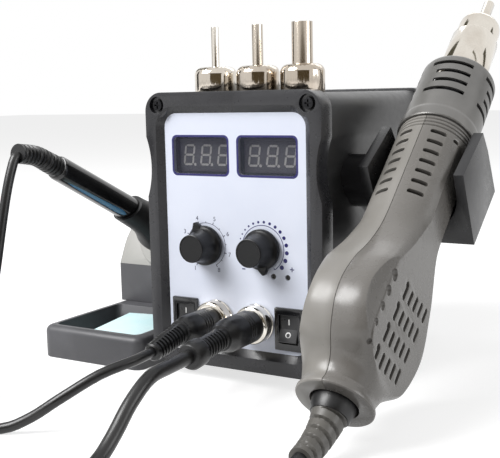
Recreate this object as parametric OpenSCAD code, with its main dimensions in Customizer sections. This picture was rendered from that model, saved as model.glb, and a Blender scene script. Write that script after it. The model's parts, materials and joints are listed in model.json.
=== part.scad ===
// Hot air rework station: a small case with a soldering iron on its own stand and a
// hot air handle in a cradle on the side. Millimetres, +Z up, the front faces -Y.
// The modules are drawn from the middle of the case's front panel: x to the right, y to
// the back from the panel's face, z up from the lower edge of the bezel.

/* [Case] */
// Width of the case over the bezel
case_w = 99; // [94:1:104]
// Height of the case without its feet
case_h = 137.3; // [132:0.1:142]
// Depth of the case over both frames
case_d = 144.4; // [138:0.1:150]
// Thickness of the case wall
wall = 2; // [1.6:0.1:2.6]
// Corner radius of the bezel
corner_r = 9.5; // [8.5:0.1:11]
// Depth of the hollow along each side of the case
scallop = 2.7; // [1.5:0.1:3.2]
// Height of the feet below the bezel
foot_h = 8; // [7.5:0.1:10]
// Diameter of a foot
foot_d = 16; // [12:1:20]

/* [Front panel] */
// Width of the visible panel
panel_w = 80; // [78:0.5:81]
// Height of the visible panel
panel_h = 116.5; // [114:0.5:118]
// Thickness of the panel
panel_t = 2; // [1.5:0.1:2.4]
// Width of a display window
window_w = 31.7; // [28:0.1:33]
// Height of a display window
window_h = 18.3; // [15:0.1:20]
// Corner radius of a display window
window_r = 2; // [1:0.1:3]
// Diameter of a knob's skirt
knob_d = 20; // [18:0.5:22]
// Diameter of a socket's coupling ring
ring_d = 19; // [18.4:0.2:20]
// Width of a switch frame
switch_w = 15; // [14.4:0.1:15.6]
// Height of a switch frame
switch_h = 21; // [20:0.1:22]

/* [Nozzles] */
// Outer diameter of every nozzle's body
nozzle_d = 22; // [21:0.1:22.4]
// Sheet thickness of a nozzle
nozzle_t = 0.8; // [0.6:0.1:1]
// Height of a spare nozzle's body
nozzle_h = 13.6; // [12:0.1:16]
// Length of a spare nozzle's outlet tube
outlet_l = 20.2; // [16:0.1:24]
// Distance between two spare nozzles
nozzle_pitch = 25.2; // [24.5:0.1:27]

/* [Hot air handle] */
// Slope of the handle in its cradle, in degrees
handle_tilt = 40.25; // [39.5:0.05:41]
// Diameter of the barrel
barrel_d = 37; // [36:0.5:38]
// Diameter of the fan housing
pod_d = 66; // [64:0.5:68]
// Width of the fan housing
pod_w = 32; // [30:0.5:33]
// Diameter of the slotted cap
cap_d = 38.8; // [38.4:0.1:39.6]
// Length of the slotted cap
cap_l = 44; // [42:0.5:46]
// Diameter of the heater tube
tube_d = 24.5; // [24:0.1:25]

/* [Cradle] */
// Width of the cradle
cradle_w = 50; // [48:0.5:52]
// Width of the cradle's channel
channel_w = 40.6; // [40:0.1:41.4]
// Space between the case and the cradle
cradle_gap = 8.5; // [7:0.5:10]

/* [Iron and stand] */
// Slope of the iron in its stand, in degrees
iron_tilt = 26; // [25:0.1:27]
// Diameter of the iron's handle
iron_d = 13.2; // [12.6:0.1:14]
// Diameter of the iron's finger guard
guard_d = 30; // [27:0.5:31]
// Width of the stand
stand_w = 68.6; // [66:0.2:70]
// Height of the tray's rim
tray_h = 18; // [16:0.5:19]
// Space between the stand and the case
stand_gap = 6.6; // [5:0.2:9]

/* [Cords] */
// Diameter of the iron's cord
iron_cord_d = 4.8; // [4.4:0.1:5.2]
// Diameter of the hot air cord
air_cord_d = 6.4; // [6:0.1:6.8]

/* [Hidden] */
// clearance of a running fit, and the space left between loose pieces
fit = 0.05;
loose = 0.3;
half_w = case_w / 2;
lip = 3;
rear_y = case_d - lip;
frame_d = 11.2;
sleeve_front = frame_d - lip;
sleeve_back = rear_y - frame_d;
inset = 1.5;
scallop_r = 44;
scallop_z = 100;
panel_mid = case_h / 2;
panel_low = panel_mid - panel_h / 2;
panel_top = panel_mid + panel_h / 2;
panel_r = 7;
plate_w = panel_w + 4;
plate_h = panel_h + 4;
plate_r = 8;
screw_x = half_w - 7;
screw_z = case_h - 6.3;
screw_zs = [case_h - screw_z, screw_z];
screw_r = 1.5;
foot_x = half_w - 15.5;
foot_y1 = 30;
foot_y2 = rear_y - 26.4;
sleeve_post_r = 3;
sleeve_post_h = 8;
board_z = inset + wall + sleeve_post_h;
board_t = 1.6;
board_w = 78;
board_l = 94;
board_start = 24;
board_screw_x = 34;
board_screw_ys = [30, 112];
core_w = 34;
core_l = 38;
core_h = 28;
core_y = 64.5;
winding_w = 24;
winding_l = 48;
winding_h = 21;

window_x = 19;
window_z = panel_top - 20.9;
display_y = 4.4;
board_y = 14;
air_x = -16.7;
heat_x = 15.9;
knob_z = panel_low + 50.9;
knob_l = 14;
pointer_r = 12.2;
air_pointer = 21.4;
heat_pointer = -170;
shaft_r = 3;
left_trim_x = 21.6;
right_trim_x = 29.4;
trim_z = panel_low + 37.9;
trimmer_w = 6.6;
switch_x = 30;
switch_z = panel_low + 12.7;
switch_open_w = switch_w - 4.7;
switch_open_h = switch_h - 4.6;
rocker_tilt = 11;
pivot_y = 1;
iron_socket_x = -11;
air_socket_x = 12.2;
socket_z = panel_low + 14.2;
socket_r = 7;
ring_l = 8;
plug_shoulder = ring_l + loose;
plug_l = 33;
iron_neck_l = 23;
air_neck_l = 27;
iron_droop = 11;
air_droop = 5.2;

top_z = case_h - inset;
nozzle_y = 26;
nozzle_r = nozzle_d / 2;
bore_r = nozzle_r - nozzle_t;
post_r = bore_r - fit;
post_h = 8;
narrow_r = 2;
medium_r = 2.8;
wide_r = 5.2;
fitted_r = 2.9;

// the handle's frame: its own z runs up the axis from the tail end of the barrel's line,
// and its own y runs down and back, away from the cradle's mouth
handle_x = half_w + cradle_gap + cradle_w / 2;
handle_y = -60.1;
handle_z = 13.2;
tail_s = -1.2;
neck_r = 15.8;
tail_r = 16.8;
pod_s = 36;
pod_r = pod_d / 2;
pod_half = pod_w / 2;
fan_room = pod_r - 5;
impeller_r = fan_room - 4;
barrel_r = barrel_d / 2;
barrel_s = 58;
cap_s = 150;
cap_r = cap_d / 2;
cap_end = cap_s + cap_l;
shell_t = 2.5;
bore_s = 60;
barrel_bore = barrel_r - shell_t;
tube_r = tube_d / 2;
tube_bore = nozzle_r + fit;
seat_s = cap_end + 1;
tube_end = cap_end + 33;
nozzle_s = tube_end - 10;
nozzle_shoulder = tube_end + 15;
nozzle_tip = tube_end + 34;
core_r = 8;
slot_pitch = 6.45;
slot_s = 100.9;
slot_angle = 26.5;

// the cradle in the handle's frame
channel_r = channel_w / 2;
channel_lift = channel_r - barrel_r - 0.1;
cradle_half = cradle_w / 2;
cradle_back = barrel_r + 10.5;
jaw_l = 33.6;
boss_s = cap_s - 24;
boss_n = -3;
cradle_screw_y = handle_y + boss_s * cos(handle_tilt) - boss_n * sin(handle_tilt);
boss_z = handle_z + boss_s * sin(handle_tilt) + boss_n * cos(handle_tilt);
cradle_screw_zs = [boss_z - 7, boss_z + 7];

// the stand and the iron in its frame: z runs down the iron's axis into the holder
stand_x = -half_w - stand_gap - stand_w / 2;
stand_half = stand_w / 2;
stand_front = -6.8;
stand_back = 126;
tray_top = tray_h - foot_h;
column_front = 64.7;
pocket_back = 60;
sponge_w = 37;
sponge_l = 46;
iron_y = -22.7;
iron_z = 99.3;
face_t = 107.4;
arch_drop = 10;
liner_r = 12.2;
holder_ring_t = face_t - 3.4;
guard_t = holder_ring_t - loose;
grip_nose_r = 10.4;
liner_bore = grip_nose_r + fit;
iron_r = iron_d / 2;
guard_r = guard_d / 2;
handle_back_t = 2;
barrel_seat = 6;
tip_shank_r = 2.4;
nose_t = guard_t + 11.3;
handle_end_t = nose_t - 25;
barrel_tip_t = nose_t + 21;
tip_t = nose_t + 35;
holder_depth = tip_t + 2.4 - face_t;

// where the whole stands, so that the origin is at the middle of its foot
left_end = stand_x - stand_half;
right_end = handle_x + cradle_half;
front_end = handle_y + tail_s * cos(handle_tilt) - tail_r * sin(handle_tilt);
inlet_t = 2.1;
inlet_w = 27;
inlet_h = 20;
inlet_z = 36;
back_end = rear_y + inlet_t;
mid_x = (left_end + right_end) / 2;
mid_y = (front_end + back_end) / 2;

// the cords, along points chosen by hand
table_z = -foot_h;
iron_cord_r = iron_cord_d / 2;
air_cord_r = air_cord_d / 2;
iron_rest = table_z + iron_cord_r;
air_rest = table_z + air_cord_r;
iron_end_y = -plug_l - iron_neck_l * cos(iron_droop);
iron_end_z = socket_z - iron_neck_l * sin(iron_droop);
air_end_y = -plug_l - air_neck_l * cos(air_droop);
air_end_z = socket_z - air_neck_l * sin(air_droop);
iron_coil = [-115, -105];
iron_coil_r = 27;
air_coil = [89, -159];
air_coil_r = 34;
iron_relief_t = -31;
relief_sag = 4;
iron_end = [
    stand_x,
    iron_y + iron_relief_t * cos(iron_tilt) - relief_sag * sin(iron_tilt),
    iron_z - iron_relief_t * sin(iron_tilt) - relief_sag * cos(iron_tilt)
];
tail_end = [handle_x, handle_y - 30, handle_z - 13.6];
iron_lead_path = [
    [iron_socket_x, iron_end_y + 3, iron_end_z + 0.6],
    [iron_socket_x - 0.6, iron_end_y - 12, iron_end_z - 0.4],
    [-20, -81.5, 16],
    [-32, -94.5, 7],
    [-43, -101.5, -1],
    [-54, -108, iron_rest],
    [-72, -118, iron_rest],
    [-90, -129, iron_rest],
    [iron_coil[0] + 6, iron_coil[1] - iron_coil_r - iron_cord_d, iron_rest]
];
iron_rise_path = [
    iron_end + [0, 3, -1.4],
    iron_end + [0, -1.5, -1.5],
    [stand_x, -57.5, 101],
    [stand_x, -61.5, 90],
    [stand_x, -66, 74],
    [stand_x, -71, 55],
    [-91.5, -75.5, 37],
    [-95, -78.5, 20],
    [-102, -79, 8],
    [-106.6, -78.8, 4.3]
];
air_lead_path = [
    [air_socket_x, air_end_y + 3, air_end_z + 0.3],
    [air_socket_x - 0.1, air_end_y - 14, air_end_z - 0.2],
    [12, -88, 20.8],
    [11.8, -101, 13.5],
    [11.6, -111, 4.5],
    [12, -121, -2],
    [14, -134, air_rest],
    [22, -150, air_rest],
    [38, -167, air_rest],
    [60, -181, air_rest],
    [air_coil[0] - 12, air_coil[1] - air_coil_r - air_cord_d / 2, air_rest]
];
air_tail_path = [
    tail_end + [0, 3, 1.2],
    tail_end + [0, -6, -1.6],
    [84.3, -101.5, air_rest + 0.6],
    [87.2, -106.6, air_rest],
    [91.7, -111.4, air_rest],
    [97.3, -116.4, air_rest]
];
tail_relief_path = [
    [handle_x, handle_y + 2.4, handle_z + 1.9],
    [handle_x, handle_y - 4, handle_z - 3.2],
    [handle_x, handle_y - 11, handle_z - 8],
    [handle_x, handle_y - 20, handle_z - 11.7],
    tail_end
];
iron_relief_path = [
    [stand_x, iron_y + (handle_back_t + 1) * cos(iron_tilt), iron_z - (handle_back_t + 1) * sin(iron_tilt)],
    [stand_x, iron_y, iron_z],
    [stand_x, iron_y - 9, iron_z + 4.3],
    [stand_x, iron_y - 18, iron_z + 8.2],
    iron_end
];

$fn = 48;

module place() {
    translate([-mid_x, -mid_y, foot_h]) children();
}

// a child drawn in x and z stands up as a block from y0 to y1
module upright(y0, y1) {
    translate([0, y1, 0]) rotate([90, 0, 0]) linear_extrude(y1 - y0) children();
}

// a child drawn upwards points out of the panel's face
module out_of(x, z) {
    translate([x, 0, z]) rotate([90, 0, 0]) children();
}

module rounded(w, h, r) {
    square([w - 2 * r, h], center = true);
    square([w, h - 2 * r], center = true);
    for (x = [-1, 1]) for (y = [-1, 1]) translate([x * (w / 2 - r), y * (h / 2 - r)]) circle(r);
}

module case_outline(in) {
    difference() {
        translate([0, panel_mid]) rounded(case_w - 2 * in, case_h - 2 * in, corner_r);
        for (side = [-1, 1])
            translate([side * (half_w - scallop + scallop_r), scallop_z]) circle(scallop_r + in, $fn = 128);
    }
}

// ring from one radius to another, from z0 to z1
module washer(inner, outer, z0, z1) {
    translate([0, 0, z0]) difference() {
        cylinder(r = outer, h = z1 - z0);
        translate([0, 0, -1]) cylinder(r = inner, h = z1 - z0 + 2);
    }
}

module disc(r, z0, z1) {
    translate([0, 0, z0]) cylinder(r = r, h = z1 - z0);
}

// a tube along a list of points, with a radius for each point
function unit(v) = v / norm(v);
function point_at(p, i) = i < 0 ? 2 * p[0] - p[1] : i > len(p) - 1 ? 2 * p[len(p) - 1] - p[len(p) - 2] : p[i];
function between(p, i, t) = let (a = point_at(p, i - 1), b = p[i], c = point_at(p, i + 1), d = point_at(p, i + 2))
    b + t * (c - a) / 2 + t * t * (2 * a - 5 * b + 4 * c - d) / 2 + t * t * t * (3 * b - a - 3 * c + d) / 2;
function smooth(p, steps) = concat(
    [for (i = [0:len(p) - 2]) for (k = [0:steps - 1]) between(p, i, k / steps)], [p[len(p) - 1]]);

module sweep(path, radii, steps, sides, aside) {
    line = smooth(path, steps);
    widths = smooth(radii, steps);
    last = len(line) - 1;
    points = [for (i = [0:last])
        let (along = unit(line[min(i + 1, last)] - line[max(i - 1, 0)]),
             across = unit(cross(along, aside)), up = cross(across, along))
        for (k = [0:sides - 1])
            line[i] + widths[i] * (cos(360 * k / sides) * across + sin(360 * k / sides) * up)];
    faces = concat(
        [[for (k = [0:sides - 1]) k]],
        [[for (k = [sides - 1:-1:0]) last * sides + k]],
        [for (i = [0:last - 1]) for (k = [0:sides - 1])
            [i * sides + k, (i + 1) * sides + k, (i + 1) * sides + (k + 1) % sides, i * sides + (k + 1) % sides]]);
    polyhedron(points, faces, convexity = 6);
}

function same(path, r) = [for (p = path) r];

module corner_bosses(r, y0, y1, hole) {
    intersection() {
        for (x = [-screw_x, screw_x]) for (z = screw_zs)
            translate([x, 0, z]) rotate([-90, 0, 0]) washer(hole, r, y0, y1);
        upright(y0 - 1, y1 + 1) case_outline(inset);
    }
}

module case_sleeve() {
    color("#3c3c3e") {
        difference() {
            upright(sleeve_front, sleeve_back) case_outline(inset);
            upright(sleeve_front - 1, sleeve_back + 1) case_outline(inset + wall);
            for (i = [-1:1]) translate([i * nozzle_pitch, nozzle_y, top_z - wall - 1]) cylinder(r = 3, h = wall + 2);
            for (z = cradle_screw_zs)
                translate([half_w - 12, cradle_screw_y, z]) rotate([0, 90, 0]) cylinder(r = 1.8, h = 14);
            for (x = [-screw_x, screw_x]) for (z = screw_zs) for (y = [sleeve_front - 1, sleeve_back - 16])
                translate([x, y, z]) rotate([-90, 0, 0]) cylinder(r = screw_r + fit, h = 17);
        }
        corner_bosses(3.6, sleeve_front, sleeve_front + 16, screw_r + fit);
        corner_bosses(3.6, sleeve_back - 16, sleeve_back, screw_r + fit);
        for (x = [-board_screw_x, board_screw_x]) for (y = board_screw_ys)
            translate([x, y, 0]) disc(sleeve_post_r, inset + wall - 0.2, board_z);
    }
}

// the sloped opening that leads from the front of the bezel down to the panel
module bezel_slope() {
    slope = 3.5;
    hull() {
        upright(-0.01, 0.01) translate([0, panel_mid]) rounded(panel_w, panel_h, panel_r, $fn = 32);
        upright(-lip - 0.01, -lip) translate([0, panel_mid])
            rounded(panel_w + 2 * slope, panel_h + 2 * slope, panel_r + slope, $fn = 32);
    }
}

module end_frame() {
    difference() {
        union() {
            difference() {
                upright(-lip, sleeve_front) case_outline(0);
                upright(-lip - 1, sleeve_front + 1) translate([0, panel_mid]) rounded(panel_w, panel_h, panel_r);
                bezel_slope();
                upright(0, sleeve_front + 1) translate([0, panel_mid])
                    rounded(plate_w + 2 * fit, plate_h + 2 * fit, plate_r);
            }
            intersection() {
                for (x = [-screw_x, screw_x]) for (z = screw_zs) {
                    translate([x, 0, z]) rotate([90, 0, 0]) cylinder(r = 6.5, h = lip - 0.8);
                    translate([x, 0, z]) rotate([-90, 0, 0]) cylinder(r = 4.4, h = sleeve_front);
                }
                upright(-lip, sleeve_front) case_outline(0);
            }
        }
        for (x = [-screw_x, screw_x]) for (z = screw_zs) {
            translate([x, -0.4, z]) rotate([90, 0, 0]) cylinder(r = 4.25, h = lip);
            translate([x, -lip, z]) rotate([-90, 0, 0]) cylinder(r = 1.7, h = frame_d + 1);
        }
    }
}

module front_bezel() {
    color("#4a4a4c") end_frame();
}

// swaps front and back, so that the rear frame is the front one turned about
module at_rear() {
    translate([0, rear_y - lip, 0]) mirror([0, 1, 0]) children();
}

module rear_frame() {
    color("#4a4a4c") at_rear() end_frame();
}

module faceplate() {
    color("#e4e8f6") difference() {
        upright(0, panel_t) translate([0, panel_mid]) rounded(plate_w, plate_h, plate_r);
        upright(-1, panel_t + 1) {
            for (x = [-window_x, window_x]) translate([x, window_z]) rounded(window_w, window_h, window_r);
            for (x = [-switch_x, switch_x]) translate([x, switch_z]) square([switch_w - 2, switch_h - 2], center = true);
            for (x = [air_x, heat_x]) translate([x, knob_z]) circle(3.6);
            for (x = [iron_socket_x, air_socket_x]) translate([x, socket_z]) circle(socket_r + fit);
            for (x = [left_trim_x, right_trim_x]) translate([x, trim_z]) circle(1.4);
        }
    }
}

module rear_panel() {
    color("#3c3c3e") difference() {
        at_rear() upright(0, panel_t) translate([0, panel_mid]) rounded(plate_w, plate_h, plate_r);
        upright(rear_y - lip - panel_t - 1, rear_y) {
            translate([0, inlet_z]) square([inlet_w, inlet_h], center = true);
            for (i = [0:6]) translate([0, panel_mid + 8 + i * 5]) square([50, 2], center = true);
        }
    }
}

module mains_inlet() {
    inlet_y = rear_y - lip;
    color("#1c1c1e") difference() {
        union() {
            upright(inlet_y - 24, inlet_y) translate([0, inlet_z]) square([inlet_w, inlet_h], center = true);
            upright(inlet_y, back_end) translate([0, inlet_z]) rounded(inlet_w + 21, inlet_h + 4, 3);
        }
        upright(inlet_y - 18, back_end + 1) translate([0, inlet_z]) square([inlet_w - 3, inlet_h - 4], center = true);
    }
    color("#c8c8c8") for (x = [-7, 0, 7])
        upright(inlet_y - 30, inlet_y - 4) translate([x, inlet_z - (x == 0 ? -4 : 2)]) square([2, 4], center = true);
}

module screw_pair() {
    for (x = [-screw_x, screw_x]) for (z = screw_zs)
        translate([x, 0, z]) rotate([90, 0, 0]) {
            difference() {
                disc(2.6, 0.4, 2.3);
                translate([0, 0, 2]) cube([3.4, 0.8, 1.8], center = true);
                translate([0, 0, 2]) cube([0.8, 3.4, 1.8], center = true);
            }
            disc(screw_r, -sleeve_front - 8, 0.4);
        }
}

module case_screws() {
    color("#2a2a2c") {
        screw_pair();
        at_rear() screw_pair();
    }
}

module feet() {
    color("#1a1a1a") for (x = [-foot_x, foot_x]) for (y = [foot_y1, foot_y2])
        translate([x, y, 0]) disc(foot_d / 2, table_z, inset);
}

module main_board() {
    color("#2f6b3a") difference() {
        translate([-board_w / 2, board_start, board_z]) cube([board_w, board_l, board_t]);
        for (x = [-board_screw_x, board_screw_x]) for (y = board_screw_ys)
            translate([x, y, board_z - 1]) cylinder(r = 1.6, h = 4);
    }
    translate([0, board_start, board_z + board_t]) {
        color("#b8bcc0") for (i = [0:4]) translate([board_w / 2 - 15, 28 + i * 7, 0]) cube([10, 3, 24]);
        color("#b8bcc0") translate([board_w / 2 - 19, 28, 0]) cube([4, 31, 24]);
        color("#26344e") for (y = [12, 28]) translate([13 - board_w / 2, y, 0]) cylinder(r = 6.5, h = 22);
    }
}

module transformer() {
    color("#8a7a5a") {
        translate([10 - core_w, core_y, board_z + board_t]) cube([core_w, core_l, core_h]);
        translate([5 - winding_w, core_y - (winding_l - core_l) / 2, board_z + board_t + 3.4])
            cube([winding_w, winding_l, winding_h]);
    }
}

module display_windows() {
    color("#5a5a60") for (x = [-window_x, window_x]) {
        upright(0, panel_t) translate([x, window_z]) rounded(window_w - 2 * fit, window_h - 2 * fit, window_r - fit);
        upright(panel_t, panel_t + 1) translate([x, window_z]) square([window_w + 2, window_h + 2], center = true);
    }
}

module display_modules() {
    color("#303038") for (x = [-window_x, window_x])
        upright(display_y, board_y) translate([x, window_z]) square([window_w - 1.6, window_h - 2], center = true);
}

module control_board() {
    color("#2f6b3a") difference() {
        upright(board_y, board_y + board_t) translate([1 - board_w / 2, trim_z - 8.3])
            square([board_w - 2, window_z - trim_z + 22.3]);
        for (x = [air_x, heat_x]) translate([x, board_y - 1, knob_z]) rotate([-90, 0, 0]) cylinder(r = 1.2, h = 4);
    }
    color("#2a4a8a") for (x = [left_trim_x, right_trim_x])
        difference() {
            upright(panel_t + 1.5, board_y) translate([x, trim_z]) square([trimmer_w, trimmer_w], center = true);
            translate([x, 0, trim_z]) rotate([-90, 0, 0]) cylinder(r = 1.2 + fit, h = panel_t + 5);
        }
}

module knob(x, pointer) {
    out_of(x, knob_z) difference() {
        rotate_extrude() polygon([
            [shaft_r + fit, 1], [shaft_r + fit, knob_l - 1.5], [0, knob_l - 1.5], [0, knob_l],
            [6, knob_l], [6.4, knob_l - 0.5], [8.3, 4], [8.6, 3.5], [knob_d / 2 - 0.3, 3.5], [knob_d / 2, 3.2],
            [knob_d / 2, 1.2], [knob_d / 2 - 0.2, 1]]);
        cylinder(r = 5.4, h = 3.2);
    }
    out_of(x, knob_z) rotate([0, 0, pointer]) translate([0, 0, 1])
        linear_extrude(5) polygon([[-4, 8], [4, 8], [3, 9.9], [0.5, pointer_r], [-0.5, pointer_r], [-3, 9.9]]);
}

module air_knob() {
    color("#161618") knob(air_x, air_pointer);
}

module heat_knob() {
    color("#161618") knob(heat_x, heat_pointer);
}

module shaft(x) {
    color("#b8bcc0") out_of(x, knob_z) disc(shaft_r, -4, knob_l - 1.8);
}

module air_shaft() {
    shaft(air_x);
}

module heat_shaft() {
    shaft(heat_x);
}

module potentiometers() {
    color("#9aa0a4") for (x = [air_x, heat_x]) out_of(x, knob_z) difference() {
        union() {
            disc(8, -board_y, -panel_t);
            disc(3.5, -panel_t, 3);
            disc(5, 0, 2);
        }
        disc(shaft_r + fit, -4 - loose, 4);
    }
}

module switch_housings() {
    color("#19191b") for (x = [-switch_x, switch_x]) difference() {
        union() {
            upright(-1.5, 0) translate([x, switch_z]) square([switch_w, switch_h], center = true);
            upright(0, board_y) translate([x, switch_z]) square([switch_w - 2 - 2 * fit, switch_h - 2 - 2 * fit], center = true);
            for (z = [-5, 5]) upright(board_y, board_y + 6) translate([x, switch_z + z]) square([5, 1], center = true);
        }
        upright(-3, 8) translate([x, switch_z]) square([switch_open_w, switch_open_h], center = true);
        translate([x - switch_w / 2 + 1.5, pivot_y, switch_z]) rotate([0, 90, 0]) cylinder(r = 0.8 + fit, h = switch_w - 3);
    }
}

// the rocker's own frame: y and z from its pivot; its two faces meet in a shallow valley
module rocker(x) {
    swing = switch_open_h / 2 - 0.1;
    dip = swing * tan(rocker_tilt);
    color("#202024") translate([x, pivot_y, switch_z]) rotate([-rocker_tilt, 0, 0]) {
        intersection() {
            rotate([90, 0, 90]) linear_extrude(switch_open_w - 0.2, center = true)
                polygon([[-1.5, 0], [-1.5 - dip, swing], [4, swing], [4, -swing], [-1.5 - dip, -swing]]);
            rotate([0, 90, 0]) cylinder(r = swing, h = switch_open_w, center = true);
        }
        rotate([0, 90, 0]) cylinder(r = 0.8, h = switch_w - 3.4, center = true);
    }
}

module iron_rocker() {
    rocker(-switch_x);
}

module air_rocker() {
    rocker(switch_x);
}

module trimmer_screw(x) {
    color("#d8b860") out_of(x, trim_z) difference() {
        disc(1.2, -panel_t - 4, -0.5);
        translate([0, 0, -0.6]) cube([3, 0.5, 1], center = true);
    }
}

module left_trimmer_screw() {
    trimmer_screw(left_trim_x);
}

module right_trimmer_screw() {
    trimmer_screw(right_trim_x);
}

module panel_sockets() {
    color("#c4c4c0") for (x = [iron_socket_x, air_socket_x]) out_of(x, socket_z) difference() {
        union() {
            disc(socket_r, -12, ring_l - 1.6);
            disc(9, -panel_t - 1.6, -panel_t);
        }
        disc(6, -2, ring_l);
    }
}

module plug_ring(x) {
    color("#d0d0cc") out_of(x, socket_z) {
        washer(socket_r + fit, ring_d / 2, loose, ring_l - 1.2);
        washer(6.2, ring_d / 2, ring_l - 1.2, ring_l);
    }
}

module iron_plug_ring() {
    plug_ring(iron_socket_x);
}

module air_plug_ring() {
    plug_ring(air_socket_x);
}

// a straight body behind the coupling ring and a neck that droops a little
module plug(x, body_r, neck, droop) {
    color("#1c1c1e") out_of(x, socket_z) {
        disc(5.8, 1, plug_shoulder);
        rotate_extrude() polygon([[0, plug_shoulder], [body_r, plug_shoulder], [body_r, plug_l - 2], [body_r - 1.5, plug_l], [0, plug_l]]);
        translate([0, 0, plug_l]) rotate([droop, 0, 0]) rotate_extrude() polygon(neck);
    }
}

module iron_plug() {
    plug(iron_socket_x, 7, [[0, -2], [5, -2], [4.3, iron_neck_l], [0, iron_neck_l]], iron_droop);
}

module air_plug() {
    collar = air_neck_l - 9;
    plug(air_socket_x, 8, [[0, -2], [5.25, -2], [5.25, collar], [6.2, collar + 1], [6.2, air_neck_l - 1.5], [5, air_neck_l], [0, air_neck_l]], air_droop);
}

// a nozzle from its open mouth at z0 over a rounded shoulder to the tip of its outlet
module nozzle(z0, shoulder, tip, outlet_r) {
    corner = 4;
    arc = [for (k = [0:6]) [cos(k * 15), sin(k * 15)]];
    outer = [for (a = arc) [nozzle_r - corner + corner * a[0], shoulder - corner + corner * a[1]]];
    inner = [for (k = [6:-1:0]) [bore_r - corner + corner * arc[k][0], shoulder - nozzle_t - corner + corner * arc[k][1]]];
    color("#d8d6d0") rotate_extrude() polygon(concat(
        [[nozzle_r, z0]], outer, [[outlet_r, shoulder], [outlet_r, tip], [outlet_r - 0.5, tip], [outlet_r - 0.5, shoulder - nozzle_t]],
        inner, [[bore_r, z0]]));
}

module spare_nozzle(i, outlet_r) {
    translate([i * nozzle_pitch, nozzle_y, top_z + loose]) nozzle(0, nozzle_h, nozzle_h + outlet_l, outlet_r);
}

module narrow_spare_nozzle() {
    spare_nozzle(-1, narrow_r);
}

module medium_spare_nozzle() {
    spare_nozzle(0, medium_r);
}

module wide_spare_nozzle() {
    spare_nozzle(1, wide_r);
}

module nozzle_posts() {
    color("#2a2a2c") for (i = [-1:1]) translate([i * nozzle_pitch, nozzle_y, top_z]) {
        disc(post_r, 0, post_h);
        disc(3, -wall - 1, 0);
    }
}

module in_handle() {
    translate([handle_x, handle_y, handle_z]) rotate([handle_tilt - 90, 0, 0]) children();
}

// a child drawn upwards points along x at a station of the handle's axis
module across_handle(s) {
    translate([0, 0, s]) rotate([0, 90, 0]) children();
}

// the handle's side, from the tail end over the upper side and back along the lower side:
// stations along the axis and heights above it, drawn smaller by a share for the outer
// layers, and just inside the round barrel where it meets that
pod_top = [[12, 13.6], [16, 8.5], [21.3, 4.4], [28.9, 0.3], [39, -0.3], [51, 3.3], [60, 7.2]];
pod_bottom = [[60, 1.6], [52, -1.4], [43.6, -3], [32.5, -0.3], [21.8, 4.8], [14.7, 11.8]];
function handle_side(share, sunk) = concat(
    [[4, (neck_r - 1) * share], [8, (neck_r + 1) * share]],
    [for (p = pod_top) [pod_s + (p[0] - pod_s) * share, (pod_r - p[1]) * share]],
    [[68.6, (barrel_r + 3.8) * share], [80, sunk + 1], [92, sunk], [92, -sunk], [84, -sunk - 2.5]],
    [[76, -(barrel_r + 6.5) * share], [69.5, -(barrel_r + 10.2) * share]],
    [for (p = pod_bottom) [pod_s + (p[0] - pod_s) * share, (p[1] - pod_r) * share]],
    [[9, -(neck_r + 1) * share], [4, -(neck_r - 1) * share]]);

module side_layer(share, half_width) {
    sunk = sqrt(barrel_r * barrel_r - half_width * half_width) - 0.3;
    rotate([0, 90, 0]) linear_extrude(2 * half_width, center = true)
        polygon([for (p = handle_side(share, sunk)) [-p[0], -p[1]]]);
}

module handle_outer() {
    ridge = 1.2;
    rotate_extrude() polygon([[0, tail_s], [tail_r, tail_s], [tail_r, tail_s + 1.2], [neck_r, tail_s + 6],
        [neck_r, 20], [0, 20]]);
    side_layer(1, pod_half - 4.5);
    side_layer(0.93, pod_half - 2);
    side_layer(0.8, pod_half);
    rotate_extrude() polygon(concat(
        [[0, pod_s], [13, pod_s], [barrel_r, barrel_s]],
        [for (k = [3:-1:1]) for (p = [[barrel_r, 2 * k], [barrel_r - 1, 2 * k - 0.2], [barrel_r - 1, 2 * k - 0.9],
            [barrel_r, 2 * k - 1.1]]) [p[0], cap_s - ridge * p[1]]],
        [[barrel_r - 1, cap_s - ridge], [barrel_r - 1, cap_s + 8], [0, cap_s + 8]]));
}

module handle_hollow() {
    disc(6, tail_s - 1, 20);
    across_handle(pod_s) rotate_extrude($fn = 96) polygon([
        [0, 3 - pod_half], [fan_room - 7, 3 - pod_half], [fan_room - 3, -8], [fan_room, -5],
        [fan_room, 5], [fan_room - 3, 8], [fan_room - 7, pod_half - 3], [0, pod_half - 3]]);
    disc(12, pod_s, bore_s + 2);
    disc(barrel_bore, bore_s, cap_s + 9);
}

// rows of slots in the barrel, seen from the front and above
module grip_slots() {
    for (side = [-1, 1]) for (k = [0:6])
        rotate([0, 0, side * slot_angle]) translate([0, -barrel_r, slot_s + k * slot_pitch]) cube([7.8, 12, 1.6], center = true);
}

module grille() {
    for (row = [0:3]) for (k = [0:4])
        translate([pod_half, 1.8 * row - 12.6 + 6.4 * k, pod_s - 20 + 12 * row + 1.9 * k])
            cube([8.4, 2, 7.2], center = true);
}

module handle_shell(side) {
    in_handle() difference() {
        intersection() {
            handle_outer();
            translate([side * 50, 0, 50]) cube([100, 200, 300], center = true);
        }
        handle_hollow();
        grip_slots();
        if (side > 0) grille();
    }
}

module handle_left_shell() {
    color("#8c8a86") handle_shell(-1);
}

module handle_right_shell() {
    color("#8c8a86") handle_shell(1);
}

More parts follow.
